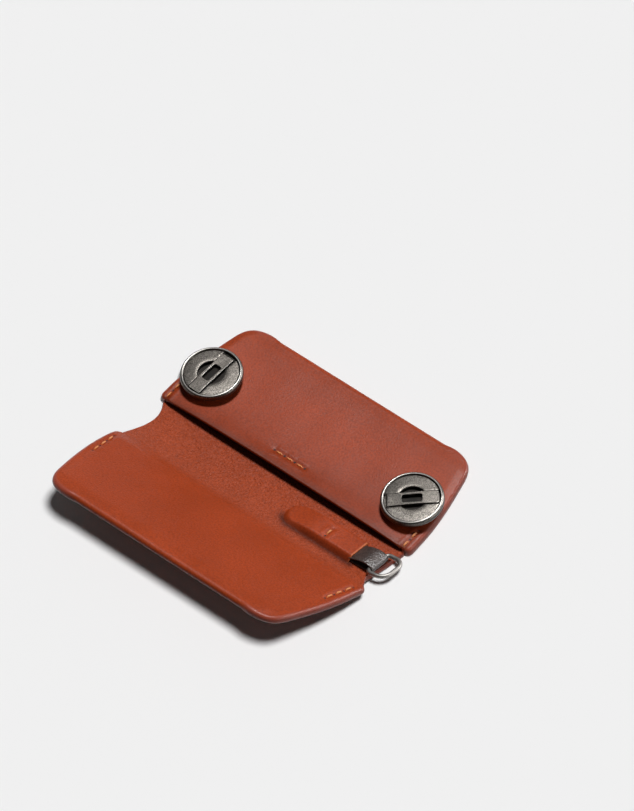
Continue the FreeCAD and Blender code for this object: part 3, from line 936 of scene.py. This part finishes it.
def case_leather():
    """Vegetable-tanned leather: smooth where grain is 0 and pebbled where it is 1."""
    tint = key_case().finish
    s = Shader("case_leather")
    lay, grain, edge = s.lay(), s.field("grain"), s.field("edge")
    cloud = s.noise(lay, 0.055, 4.0, 0.55)
    fleck = s.noise(lay, 1.5, 4.0, 0.65)
    smooth = s.mottled(cloud, tint.leather, 0.88, 1.1)
    pebbled = s.mottled(cloud, tint.lining, 0.9, 1.08)
    base = s.mix(grain, smooth, pebbled)
    base = s.mix(s.remap(fleck, 0.42, 0.64, 0.0, 0.7), base, shade(tint.leather, 0.55))
    waves = s.node("TexNoise", {"Vector": lay, "Scale": 0.9, "Detail": 2.0}, output="Color")
    bent = s.node("VectorMath", {0: lay, 1: waves}, operation="ADD")
    pebble, small = s.cells(bent, 1.5, 0.2), s.cells(bent, 2.8, 0.2)
    valley = s.times(s.remap(pebble, 0.35, 0.8), s.times(grain, 0.24))
    base = s.mix(valley, base, shade(tint.lining, 0.65))
    painted = s.mottled(fleck, tint.edge, 0.9, 1.12)
    base = s.mix(s.times(edge, 0.85), base, painted)
    base = s.mix(s.field("raw"), base, shade(tint.raw, 1.0))
    # The field dark paints shade into the leather's colour: on the pocket's lip and inside it, on
    # the lining in front of the mouth and along the tab's foot. On the back cover it also darkens
    # the leather towards the mouth and towards the folded edge.
    base = s.mix(s.field("dark"), base, shade(tint.leather, 0.15))
    rough = s.plus(s.remap(cloud, 0.25, 0.75, 0.36, 0.46), s.times(grain, 0.1))
    rough = s.math("SUBTRACT", rough, s.times(edge, 0.12))
    drawn = s.node("VectorMath", {0: lay, 1: (0.22, 1.5, 1.0)}, operation="MULTIPLY")
    crease = s.noise(drawn, 1.0, 3.0, 0.55)
    normal = s.bump(s.noise(lay, 1.8, 5.0, 0.75), 0.09, 0.8)
    for height, on_smooth, millimetres, strength in (
        (crease, 0.1, 0.16, 0.8), (small, 0.15, -0.12, 0.9), (pebble, 0.04, -0.24, 1.0)
    ):
        normal = s.bump(s.times(height, s.plus(grain, on_smooth)), millimetres, strength, normal)
    return s.finish(base=base, rough=rough, normal=normal, specular=0.26)


def strap_leather():
    """Dark leather, pebbled all over."""
    s = Shader("strap_leather")
    lay = s.lay()
    scuff = s.noise(lay, 0.5, 5.0, 0.65)
    base = s.mottled(scuff, key_case().finish.strap, 0.6, 1.3, low=0.35)
    rough = s.remap(scuff, 0.3, 0.7, 0.34, 0.46)
    normal = s.bump(s.noise(lay, 4.0, 3.0), 0.03, 0.6)
    normal = s.bump(s.cells(lay, 1.7, 0.4), -0.16, 1.0, normal)
    return s.finish(base=base, rough=rough, normal=normal, specular=1.0)


def sewing_thread():
    """Waxed thread with a fibre."""
    s = Shader("sewing_thread")
    fibre = s.noise(s.lay(), 5.0, 3.0, 0.6)
    base = s.mottled(fibre, key_case().finish.thread, 0.75, 1.15)
    rough = s.remap(fibre, 0.3, 0.7, 0.45, 0.65)
    return s.finish(base=base, rough=rough, normal=s.bump(fibre, 0.05, 0.7))


def needle_hole():
    """Painted shade for the inside of a needle hole."""
    tint = key_case().finish
    s = Shader("needle_hole")
    fibre = s.noise(s.lay(), 4.0, 3.0, 0.6)
    base = s.mix(fibre, shade(tint.hole, 0.6), shade(tint.hole, 1.4))
    return s.finish(base=base, rough=s.remap(fibre, 0.2, 0.8, 0.7, 0.9))


def blasted_gunmetal():
    """Blasted metal, bright where the field worn is high, with painted shade where deep is."""
    tint = key_case().finish
    s = Shader("blasted_gunmetal")
    place, worn = s.solid(), s.field("worn")
    blast = s.noise(place, 2.9, 2.0, 0.6)
    stain = s.noise(place, 0.12, 3.0, 0.5)
    base = s.mottled(stain, tint.gunmetal, 0.75, 1.3, 0.35, 0.65)
    base = s.mix(s.remap(blast, 0.4, 0.6, 0.0, 0.9), base, shade(tint.gunmetal, 0.25))
    bright = s.times(worn, s.remap(stain, 0.3, 0.6, 0.6, 1.0))
    base = s.mix(bright, base, shade(tint.worn, 1.0))
    # Painted shade in the slot, the recess and the groove and round the foot of the outer wall.
    base = s.mix(s.field("deep"), base, shade(tint.steel_black_and_shade, 1.0))
    rough = s.math("SUBTRACT", s.remap(blast, 0.3, 0.7, 0.3, 0.4), s.times(bright, 0.08))
    normal = s.bump(blast, 0.07, s.remap(worn, 0.0, 1.0, 0.9, 0.15))
    return s.finish(base=base, rough=rough, normal=normal, metal=1.0)


def satin_steel():
    """Nickel-plated steel, rubbed dull."""
    s = Shader("satin_steel")
    rub = s.noise(s.solid(), 1.4, 5.0, 0.65)
    base = s.mottled(rub, key_case().finish.steel, 0.75, 1.1)
    rough = s.remap(rub, 0.3, 0.7, 0.42, 0.55)
    return s.finish(base=base, rough=rough, normal=s.bump(rub, 0.03, 0.5), metal=1.0)


def plain_finish(name, colour_name, rough, fine, specular=0.5):
    """A matt finish with a fine speckle, for what lies inside."""
    s = Shader(name)
    speck = s.noise(s.solid(), fine, 4.0, 0.6)
    base = s.mottled(speck, getattr(key_case().finish, colour_name), 0.85, 1.12)
    rough = s.remap(speck, 0.3, 0.7, rough - 0.06, rough + 0.06)
    return s.finish(base=base, rough=rough, normal=s.bump(speck, 0.03, 0.6), specular=specular)


MAKERS = {
    make.__name__: make
    for make in (
        case_leather, strap_leather, sewing_thread, needle_hole, blasted_gunmetal, satin_steel
    )
}
PLAIN_FINISHES = {
    "black_nylon": ("nylon", 0.5, 2.0),
    "grey_board": ("board", 0.8, 1.5),
    "blackened_steel": ("steel_black_and_shade", 0.75, 3.0, 0.15),
}


def material(name):
    """The material of a name, made when it is first asked for."""
    found = bpy.data.materials.get(name)
    if found:
        return found
    if name in PLAIN_FINISHES:
        return plain_finish(name, *PLAIN_FINISHES[name])
    return MAKERS[name]()


# Pieces

class KEYCASE_OT_covers(bpy.types.Operator):
    """Builds the two leather covers, each with its half of the spine"""

    bl_idname = "keycase.covers"
    bl_label = "Covers and spine"

    def execute(self, context):
        leather = material("case_leather")
        back = cover_skin(True).piece("back_cover", leather, curled)
        front = cover_skin(False).piece("front_cover", leather, curled)
        top = cover().back_thickness
        mouth = -cover().back_width / 2
        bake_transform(back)
        curl = spine().group.curl
        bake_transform(front)
        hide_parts("back_sleeve", "spine_lining", "lining_tuck")
        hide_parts("front_sleeve", "spine_outer")
        return {"FINISHED"}


class KEYCASE_OT_tab(bpy.types.Operator):
    """Builds the raised tab on the spine and the strap that holds the ring"""

    bl_idname = "keycase.tab"
    bl_label = "Tab and strap"

    def execute(self, context):
        size = tab()
        self.pad(size)
        self.strap(size)
        return {"FINISHED"}

    def pad(self, size):
        """A raised pad of leather, round at one end and cut off at the other."""
        bury, nose_run, slope_start, slope_power, foot_run = 0.12, 14.0, 0.1, 1.3, 3.0
        cut_start, cut_run, lip_out, lip_drop, leather, tuck = 0.35, 0.3, 0.04, 0.06, 0.85, 6
        half = size.width / 2
        start = size.end - size.length
        turn = np.linspace(0, math.pi / 2, 16)
        straight = graded([(size.length - half, 0.6)])[1:] + start + half
        x = np.r_[start + half * (1 - np.cos(turn)), straight][:, None]
        reach = np.sqrt(np.maximum(half ** 2 - np.maximum(start + half - x, 0) ** 2, 0))
        w = reach * np.sin(np.linspace(-math.pi / 2, math.pi / 2, 41))
        x = np.broadcast_to(x, w.shape)
        from_middle = np.where(x < start + half, np.hypot(x - start - half, w), np.abs(w))
        edge = np.clip(half - from_middle, 0, None)
        base = lining_rise(w) - bury
        top = size.nose + (size.top - size.nose) * ease((x - start) / nose_run)
        run = size.near_run + (size.far_run - size.near_run) * ease(0.5 + 0.8 * w / half)
        rise = ease(slope_start + (1 - slope_start) * edge / run) ** slope_power
        height = base + (top - base) * rise - pulled(x, w, tab_rows())
        height = height + LINING_UNEVEN * ripple(x, w, 11)
        cut = ease((x - size.end + cut_start) / cut_run)
        # Painted shade on the tab's near slope, darkest at its foot.
        foot = foot_shade(w) * (1 - ease(edge / foot_run))
        skin = Skin()
        grid = skin.add(xyz(x, w, height), grain=0.12, raw=cut, dark=foot)
        skin.grid(grid)
        lip, low = height[-1] - lip_drop, np.maximum(height[-1] - leather, base[-1])
        rows = [grid[-1]]
        for out, level, raw in ((lip_out, lip, 1.0), (0, low, 1.0), (-tuck, low, 0.0)):
            rows.append(skin.add(xyz(x[-1] + out, w[-1], level), grain=0.1, raw=raw))
        skin.grid(np.stack(rows))
        pad = skin.piece("lanyard_tab_leather", material("case_leather"), on_spine)
        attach(pad, "spine")
        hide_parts("lanyard_tab")

    def strap(self, size):
        """A ribbon from under the tab, up over the ring's bar and back."""
        end, bar_x, bar_z = size.end, size.end + size.bar_reach, size.bar_height
        slack = 0.08
        bend = size.wire_radius + slack + size.strap_leather / 2
        points = [
            (end - 4.0, 1.2), (end - 0.4, 1.45), (end + 1.5, 2.2), (end + 3.6, 3.0),
            (bar_x - 1.9, bar_z + bend * 1.18), (bar_x - 0.2, bar_z + bend * 1.06),
            (bar_x + bend * 0.75, bar_z + bend * 0.66),
            (bar_x + bend, bar_z), (bar_x + bend * 0.6, bar_z - bend * 0.8),
            (bar_x - 0.5, bar_z - bend), (end + 4.6, 0.72), (end + 2.2, 0.58), (end - 4.0, 0.53),
        ]
        line = spline(points, (1, 0.02), (-1, 0), count=30)
        line = along(line, np.linspace(0, run_length(line), 90))
        path = xyz(line[:, 0], 0.0, line[:, 1])
        skin = Skin()
        swept(skin, path, strap_section(size.strap_width, size.strap_leather, 44), across=(0, 1, 0))
        strap = skin.piece("ring_strap", material("strap_leather"), on_spine)
        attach(strap, "spine")
        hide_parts("strap_loop")


class KEYCASE_OT_ring(bpy.types.Operator):
    """Builds the wire ring"""

    bl_idname = "keycase.ring"
    bl_label = "Ring"

    def execute(self, context):
        size = tab()
        half, near, far = size.ring_width / 2, size.ring_corner, size.far_corner
        beyond = size.ring_depth - far
        corners = [
            (near, half - near, near, 180), (near, near - half, near, 270),
            (beyond, far - half, far, 360), (beyond, half - far, far, 450),
        ]
        flat = []
        for mid_x, mid_w, radius, end_deg in corners:
            for turn in np.radians(np.linspace(end_deg - 90, end_deg, 12)):
                flat.append((mid_x + radius * math.cos(turn), mid_w + radius * math.sin(turn)))
        out, w = self.ordered(np.array(flat)).T
        sine, cosine = math.sin(size.group.droop), math.cos(size.group.droop)
        path = xyz(size.end + size.bar_reach + out * cosine, w, size.bar_height - out * sine)
        skin = Skin()
        section = round_section(size.wire_radius, 20)
        swept(skin, path, section, across=(sine, 0, cosine), closed=True)
        ring = skin.piece("wire_ring", material("satin_steel"), on_spine)
        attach(ring, "ring")
        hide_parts("d_ring")
        return {"FINISHED"}

    def ordered(self, flat):
        """The same points in order round the ring."""
        middle = flat.mean(axis=0)
        turn = np.arctan2(flat[:, 1] - middle[1], flat[:, 0] - middle[0])
        return flat[np.argsort(turn)]


def face_fall(radius, size):
    """How far a cap's face falls at a radius, from a flat middle."""
    flat_radius, run, power = 2.5, 6.3, 1.2
    return size.crown * np.clip((radius - flat_radius) / run, 0, None) ** power


class KEYCASE_OT_caps(bpy.types.Operator):
    """Builds the round screw caps, with a slot and a finger recess each"""

    bl_idname = "keycase.caps"
    bl_label = "Screw caps"

    profile = [
        (0.0, 0.0), (5.0, 0.0), (8.9, 0.0), (9.25, 0.08), (9.9, 0.45), (10.2, 0.75), (10.3, 1.05),
        (10.3, 1.4), (10.26, 1.75), (10.12, 2.15), (9.92, 2.42), (9.68, 2.56), (9.5, 2.6),
        (9.34, 2.57), (9.22, 2.46), (9.16, 2.3), (9.14, 1.96), (8.92, 1.94), (8.9, 2.3),
        (8.86, 2.37), (8.76, 2.4), (7.4, 2.4), (6.0, 2.4), (4.4, 2.4), (2.2, 2.4), (0.0, 2.4),
    ]
    face_radius = 8.91
    rim_radius = 9.2
    groove_top = 2.2

    def execute(self, context):
        for side in ("left", "right"):
            self.cap(side)
        return {"FINISHED"}

    def cap(self, side):
        size = Sizes(key_case().cap)
        place = Vector(JOINTS["cap_turn_" + side]["pos_m"]) / MM
        axis = JOINTS["handle_flip_" + side]["axis"]
        turned = math.atan2(-axis[0], axis[1])
        radius, height = np.array(self.profile)[..., None].transpose(1, 0, 2)
        on_face = (radius < self.face_radius) & (height > self.groove_top)
        height = height - np.where(on_face, face_fall(radius, size), 0)
        flat = round_section(radius, 144)
        skin = Skin()
        skin.grid(skin.add(xyz(flat[..., 0], flat[..., 1], height)), close=True)
        body = skin.piece("cap_blank", material("blasted_gunmetal"))
        floor, above = size.slot_floor - 0.03, size.height + 1
        shift = math.copysign(size.slot_shift, axis[0])
        slot = self.cutter_box(size, shift, floor, above)
        recess = self.cutter_round(size.recess_radius, floor, above)
        for cutter in (slot, recess):
            cut = body.modifiers.new("cut", "BOOLEAN")
            cut.operation, cut.solver, cut.object = "DIFFERENCE", "EXACT", cutter
        soften = body.modifiers.new("soften", "BEVEL")
        soften.width, soften.segments = size.edge_break * MM, 2
        soften.limit_method, soften.angle_limit = "ANGLE", math.radians(50)
        mesh = self.applied(body, (slot, recess))
        points = np.array([v.co for v in mesh.vertices]) / MM
        mesh.transform(Matrix.Translation(place * MM) @ Matrix.Rotation(turned, 4, "Z"))
        for field, values in (("worn", self.worn(points, size)), ("deep", self.deep(points, size))):
            data = mesh.attributes.new(field, "FLOAT", "POINT").data
            data.foreach_set("value", values.astype(np.float32))
        cap = finished("screw_cap_" + side, mesh, material("blasted_gunmetal"), 40)
        flatten_shading(cap)
        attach(cap, "screw_" + side)
        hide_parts("cap_" + side)

    def below_face(self, points, size):
        """Each point's radius and its depth below the crowned face."""
        radius = np.hypot(points[:, 0], points[:, 1])
        return radius, size.face - face_fall(radius, size) - points[:, 2]

    def worn(self, points, size):
        """Bright wear on the rim's crown and on the slot's edges."""
        rim_crown, rim_spread, rim_wear, rim_low = 9.5, 0.26, 0.6, 2.1
        foot_radius, foot_spread, foot_wear = 10.3, 0.12, 0.2
        lip_wear, lip_start, lip_reach = 0.9, 0.01, 8.8
        radius, below = self.below_face(points, size)
        rim = rim_wear * np.exp(-((radius - rim_crown) / rim_spread) ** 2)
        rim = rim * (points[:, 2] > rim_low)
        foot = foot_wear * np.exp(-((radius - foot_radius) / foot_spread) ** 2)
        lip = (below > lip_start) & (below < 0.8 * size.edge_break) & (radius < lip_reach)
        return np.clip(np.maximum.reduce([rim, foot, lip_wear * lip]), 0, 1)

    def deep(self, points, size):
        """Painted shade in the slot, the recess and the groove, and round the foot of the outer
        wall.
        """
        wall_height, wall_spread, wall_shade, under_side, groove_depth = 1.45, 0.65, 0.8, 0.5, 0.4
        radius, below = self.below_face(points, size)
        height = points[:, 2]
        sunk = (below > 0.9 * size.edge_break) | (height < size.face - groove_depth)
        inside = (radius < self.rim_radius) & (height < self.groove_top) & (height > under_side)
        wall = np.exp(-((height - wall_height) / wall_spread) ** 2) * (radius > self.rim_radius)
        return np.maximum(inside & sunk, wall_shade * wall)

    def cutter_box(self, size, shift, low, high):
        """A box that cuts the handle's slot."""
        work = bmesh.new()
        bmesh.ops.create_cube(work, size=1.0)
        for vertex in work.verts:
            vertex.co.x *= size.slot_length * MM
            vertex.co.y = (vertex.co.y * size.slot_width + shift) * MM
        return self.cutter(work, low, high)

    def cutter_round(self, radius, low, high):
        """A cylinder that cuts the finger recess."""
        work = bmesh.new()
        bmesh.ops.create_cone(
            work, cap_ends=True, segments=96, radius1=radius * MM, radius2=radius * MM, depth=1.0
        )
        return self.cutter(work, low, high)

    def cutter(self, work, low, high):
        """A cutting object between two heights."""
        for vertex in work.verts:
            vertex.co.z = (high if vertex.co.z > 0 else low) * MM
        mesh = bpy.data.meshes.new("cutter")
        work.to_mesh(mesh)
        work.free()
        piece = bpy.data.objects.new("cutter", mesh)
        bpy.context.scene.collection.objects.link(piece)
        return piece

    def applied(self, body, cutters):
        """The mesh with its modifiers applied, with the blank and cutters removed."""
        bpy.context.view_layer.update()
        shown = body.evaluated_get(bpy.context.evaluated_depsgraph_get())
        mesh = bpy.data.meshes.new_from_object(shown)
        mesh.materials.clear()
        for piece in (body, *cutters):
            bpy.data.objects.remove(piece)
        return mesh


class KEYCASE_OT_handles(bpy.types.Operator):
    """Builds the flip handles with softened edges"""

    bl_idname = "keycase.handles"
    bl_label = "Flip handles"

    def execute(self, context):
        size = Sizes(key_case().cap)
        for side in ("left", "right"):
            node = "handle_" + side
            mesh = frame["nodes"][node].data.copy()
            mesh.materials.clear()
            work = bmesh.new()
            work.from_mesh(mesh)
            bmesh.ops.remove_doubles(work, verts=work.verts, dist=1e-6)
            bmesh.ops.dissolve_limit(
                work, angle_limit=math.radians(1), verts=work.verts, edges=work.edges
            )
            hard = math.radians(35)
            sharp = [e for e in work.edges if e.is_manifold and e.calc_face_angle() > hard]
            done = bmesh.ops.bevel(
                work, geom=sharp, offset=size.handle_break * MM, segments=3, profile=0.5,
                affect="EDGES", clamp_overlap=True,
            )
            soft = set(done["faces"])
            marks = work.verts.layers.float.new("worn")
            for vertex in work.verts:
                vertex[marks] = soft.issuperset(vertex.link_faces)
            self.crown(work, side, size)
            work.to_mesh(mesh)
            work.free()
            handle = finished("flip_handle_" + side, mesh, material("blasted_gunmetal"), 60)
            flatten_shading(handle)
            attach(handle, "flip_" + side)
            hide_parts(node)
        return {"FINISHED"}

    def crown(self, work, side, size):
        """Lowers a handle's top to follow the cap's crowned face."""
        cuts_each_way, cut_step, top_depth = 7, 1.1, 0.5
        place = Vector(JOINTS["cap_turn_" + side]["pos_m"])
        way = Vector(JOINTS["handle_flip_" + side]["axis"]).cross(Vector((0, 0, 1)))
        for step in range(-cuts_each_way, cuts_each_way + 1):
            everything = [*work.verts, *work.edges, *work.faces]
            cut = place + way * step * cut_step * MM
            bmesh.ops.bisect_plane(work, geom=everything, dist=1e-7, plane_co=cut, plane_no=way)
        high = max(vertex.co.z for vertex in work.verts)
        for vertex in work.verts:
            if vertex.co.z > high - top_depth * MM:
                radius = (vertex.co - place).to_2d().length / MM
                vertex.co.z -= face_fall(radius, size) * MM


class KEYCASE_OT_sewing(bpy.types.Operator):
    """Builds the sewing thread and the needle holes"""

    bl_idname = "keycase.sewing"
    bl_label = "Sewing"

    def execute(self, context):
        back_plan, front_plan = CoverPlan(cover().back_width), CoverPlan(cover().front_width)

        def back_place(points):
            x, across, lift = np.moveaxis(points, -1, 0)
            return curled(xyz(x, across, back_top(back_plan, x, across) + lift))

        def front_place(points):
            x, across, lift = np.moveaxis(points, -1, 0)
            height = front_top(front_plan, x, across) + lift
            return curled(xyz(x, front_fold() - across, height))

        def tab_place(points):
            return on_spine(points + np.array((0, 0, tab().top)))

        for name, rows, place, body in (
            ("back", back_rows(), back_place, "back"),
            ("front", front_rows(), front_place, "front"),
            ("tab", tab_rows(), tab_place, "spine"),
        ):
            thread = self.stitches(rows).piece(name + "_thread", material("sewing_thread"), place)
            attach(thread, body)
            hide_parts(name + "_stitches")
            holes = self.holes(rows).piece(name + "_needle_holes", material("needle_hole"), place)
            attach(holes, body)
        return {"FINISHED"}

    def stitches(self, rows):
        """Two-ply thread that rises from one hole and dips into the next."""
        size = sewing()
        sag, arch, dive, ply_depth, ply_turns, taper = 0.6, 0.32, 0.6, 0.14, 5.0, 0.35
        count = 14
        reach = (size.pitch - size.gap) / 2
        run = np.linspace(-1, 1, 34)
        ply = 1 + ply_depth * np.cos(2 * full_turn(count) - run[:, None] * reach * ply_turns)
        thinning = 1 - taper * np.abs(run) ** 6
        section = round_section(size.thread_radius * ply * thinning[:, None], count)
        skin = Skin()
        for (mid_x, mid_v), (way_x, way_v), sink in rows:
            lift = -sag * size.pull * sink + arch * (1 - run ** 4) / sink - dive * run ** 6
            path = xyz(mid_x + way_x * run * reach, mid_v + way_v * run * reach, lift)
            swept(skin, path, section, across=(-way_v, way_x, 0.0))
        return skin

    def holes(self, rows):
        """Shallow cups at the ends of the stitches, painted dark for the shade inside a hole, none
        in the pocket's lip.
        """
        size = sewing()
        lip, pit = 0.8, 0.6
        skin = Skin()
        places = np.unique(hole_places(rows).round(3), axis=0)
        for x, v in places[np.abs(places[:, 1]) > lip]:
            rings = []
            for reach, lift in ((1.0, 0.03), (0.75, 0.07), (0.4, 0.04), (0.0, 0.0)):
                radius = size.hole_radius * reach
                ring = round_section(radius, 16)
                level = lift - size.pull * math.exp(-(radius / pit) ** 2)
                rings.append(skin.add(xyz(x + ring[:, 0], v + ring[:, 1], level)))
            skin.grid(np.array(rings), close=True)
        return skin


class KEYCASE_OT_fittings(bpy.types.Operator):
    """Gives the inner fittings their finishes"""

    bl_idname = "keycase.fittings"
    bl_label = "Inner fittings"

    finishes = {
        "satin_steel": ("post_base", "closure_magnet"),
        "blackened_steel": ("stud", "handle_pin"),
        "black_nylon": ("washer",),
        "grey_board": ("back_board", "front_board"),
    }

    def execute(self, context):
        for finish, starts in self.finishes.items():
            for name, node in frame["nodes"].items():
                if name.startswith(starts):
                    node.data.materials.clear()
                    node.data.materials.append(material(finish))
        return {"FINISHED"}


class KEYCASE_OT_stage(bpy.types.Operator):
    """Builds the floor, the light and the camera"""

    bl_idname = "keycase.stage"
    bl_label = "Stage"

    def execute(self, context):
        floor = self.floor(context)
        self.light(context, floor)
        self.camera(context)
        context.scene.view_settings.view_transform = "Standard"
        return {"FINISHED"}

    def floor(self, context):
        """A plain floor just under the case, which gives little of its light back to it."""
        sizes, pale, sunk = key_case().stage, key_case().finish.floor, 0.03
        half = sizes.floor_size / 2
        corners = [(-half, -half, 0), (half, -half, 0), (half, half, 0), (-half, half, 0)]
        mesh = bpy.data.meshes.new("floor")
        mesh.from_pydata(corners, [], [(0, 1, 2, 3)])
        s = Shader("pale_floor")
        seen = s.node("LightPath", output="Is Camera Ray")
        for ray in ("Is Glossy Ray", "Is Transmission Ray"):
            seen = s.math("MAXIMUM", seen, s.node("LightPath", output=ray))
        base = s.mix(seen, shade(pale, sizes.floor_bounce), shade(pale, 1.0))
        mesh.materials.append(s.finish(base=base, rough=0.9, specular=0.0))
        floor = bpy.data.objects.new("floor", mesh)
        floor.location.z = -sunk * MM
        context.scene.collection.objects.link(floor)
        return floor

    def light(self, context, floor):
        """Even light, three lamps for the case and one for the floor with the case's shadow."""
        sizes = key_case().stage
        world = bpy.data.worlds.new("studio")
        context.scene.world = world
        world.use_nodes = True
        even = world.node_tree.nodes["Background"]
        even.inputs["Color"].default_value = (1, 1, 1, 1)
        even.inputs["Strength"].default_value = sizes.fill
        key = self.lamp(context, "key", sizes.key, sizes.key_spread, (-0.07, 0.38, 0.92))
        side = self.lamp(context, "side", sizes.side, sizes.side_spread, (0.92, 0.28, 0.24))
        rim = self.lamp(context, "rim", sizes.rim, sizes.rim_spread, (0.44, 0.88, 0.17))
        rim.visible_diffuse = False
        low = self.lamp(
            context, "floor_key", sizes.floor_key, sizes.floor_spread, (0.41, -0.14, 1.0)
        )
        lit = bpy.data.collections.new("floor lit by its own lamp")
        lit.objects.link(floor)
        low.light_linking.receiver_collection = lit
        unlit = bpy.data.collections.new("floor left out")
        unlit.objects.link(floor)
        unlit.collection_objects[0].light_linking.link_state = "EXCLUDE"
        for lamp in (key, side):
            lamp.light_linking.receiver_collection = unlit

    def lamp(self, context, name, strength, spread, towards):
        """A soft lamp far away, seen in a direction."""
        data = bpy.data.lights.new(name, "SUN")
        data.energy, data.angle = strength, spread
        lamp = bpy.data.objects.new(name, data)
        lamp.rotation_mode = "QUATERNION"
        lamp.rotation_quaternion = Vector(towards).to_track_quat("Z", "Y")
        context.scene.collection.objects.link(lamp)
        return lamp

    def camera(self, context):
        """A long lens at the picture's angle, in a picture 634 pixels wide and 811 high."""
        view = key_case().stage
        wide, high, film = 634, 811, 36.0
        rise, turn, roll = view.elevation, view.azimuth, view.roll
        right = Vector((math.cos(turn), math.sin(turn), 0))
        away = Vector((-math.sin(turn), math.cos(turn), 0))
        above = Vector((0, 0, 1))
        up = away * math.sin(rise) + above * math.cos(rise)
        back = above * math.sin(rise) - away * math.cos(rise)
        across = right * math.cos(roll) + up * math.sin(roll)
        upward = up * math.cos(roll) - right * math.sin(roll)
        metres = MM / view.pixels_per_mm
        shift_x, shift_y = (view.aim_x - wide / 2) * metres, (high / 2 - view.aim_y) * metres
        aim = Vector((0, -cover().back_width / 2, cover().back_thickness)) * MM
        data = bpy.data.cameras.new("camera")
        data.sensor_width = film
        data.lens = view.pixels_per_mm * view.distance / MM * film / high
        data.clip_end = view.distance * 4
        lens = bpy.data.objects.new("camera", data)
        lens.location = aim + back * view.distance - across * shift_x - upward * shift_y
        lens.rotation_mode = "QUATERNION"
        lens.rotation_quaternion = Matrix((across, upward, back)).transposed().to_quaternion()
        context.scene.collection.objects.link(lens)
        context.scene.camera = lens


class KEYCASE_PT_panel(bpy.types.Panel):
    """Lists the key case's pieces"""

    bl_label = "Key case"
    bl_idname = "KEYCASE_PT_panel"
    bl_space_type = "VIEW_3D"
    bl_region_type = "UI"
    bl_category = "Key case"

    def draw(self, context):
        for step in STEPS:
            self.layout.operator(step.bl_idname)


STEPS = (
    KEYCASE_OT_covers,
    KEYCASE_OT_tab,
    KEYCASE_OT_ring,
    KEYCASE_OT_caps,
    KEYCASE_OT_handles,
    KEYCASE_OT_sewing,
    KEYCASE_OT_fittings,
    KEYCASE_OT_stage,
)
GROUPS = (CoverSizes, SpineSizes, TabSizes, CapSizes, SewingSizes, Finish, StageSizes, KeyCase)
CLASSES = (*GROUPS, *STEPS, KEYCASE_PT_panel)


def register():
    for item in CLASSES:
        bpy.utils.register_class(item)
    bpy.types.Scene.key_case = PointerProperty(type=KeyCase)


def unregister():
    del bpy.types.Scene.key_case
    for item in reversed(CLASSES):
        bpy.utils.unregister_class(item)


def main():
    register()
    bpy.ops.keycase.covers()
    bpy.ops.keycase.tab()
    bpy.ops.keycase.ring()
    bpy.ops.keycase.caps()
    bpy.ops.keycase.handles()
    bpy.ops.keycase.sewing()
    bpy.ops.keycase.fittings()
    bpy.ops.keycase.stage()


if __name__ == "__main__":
    main()
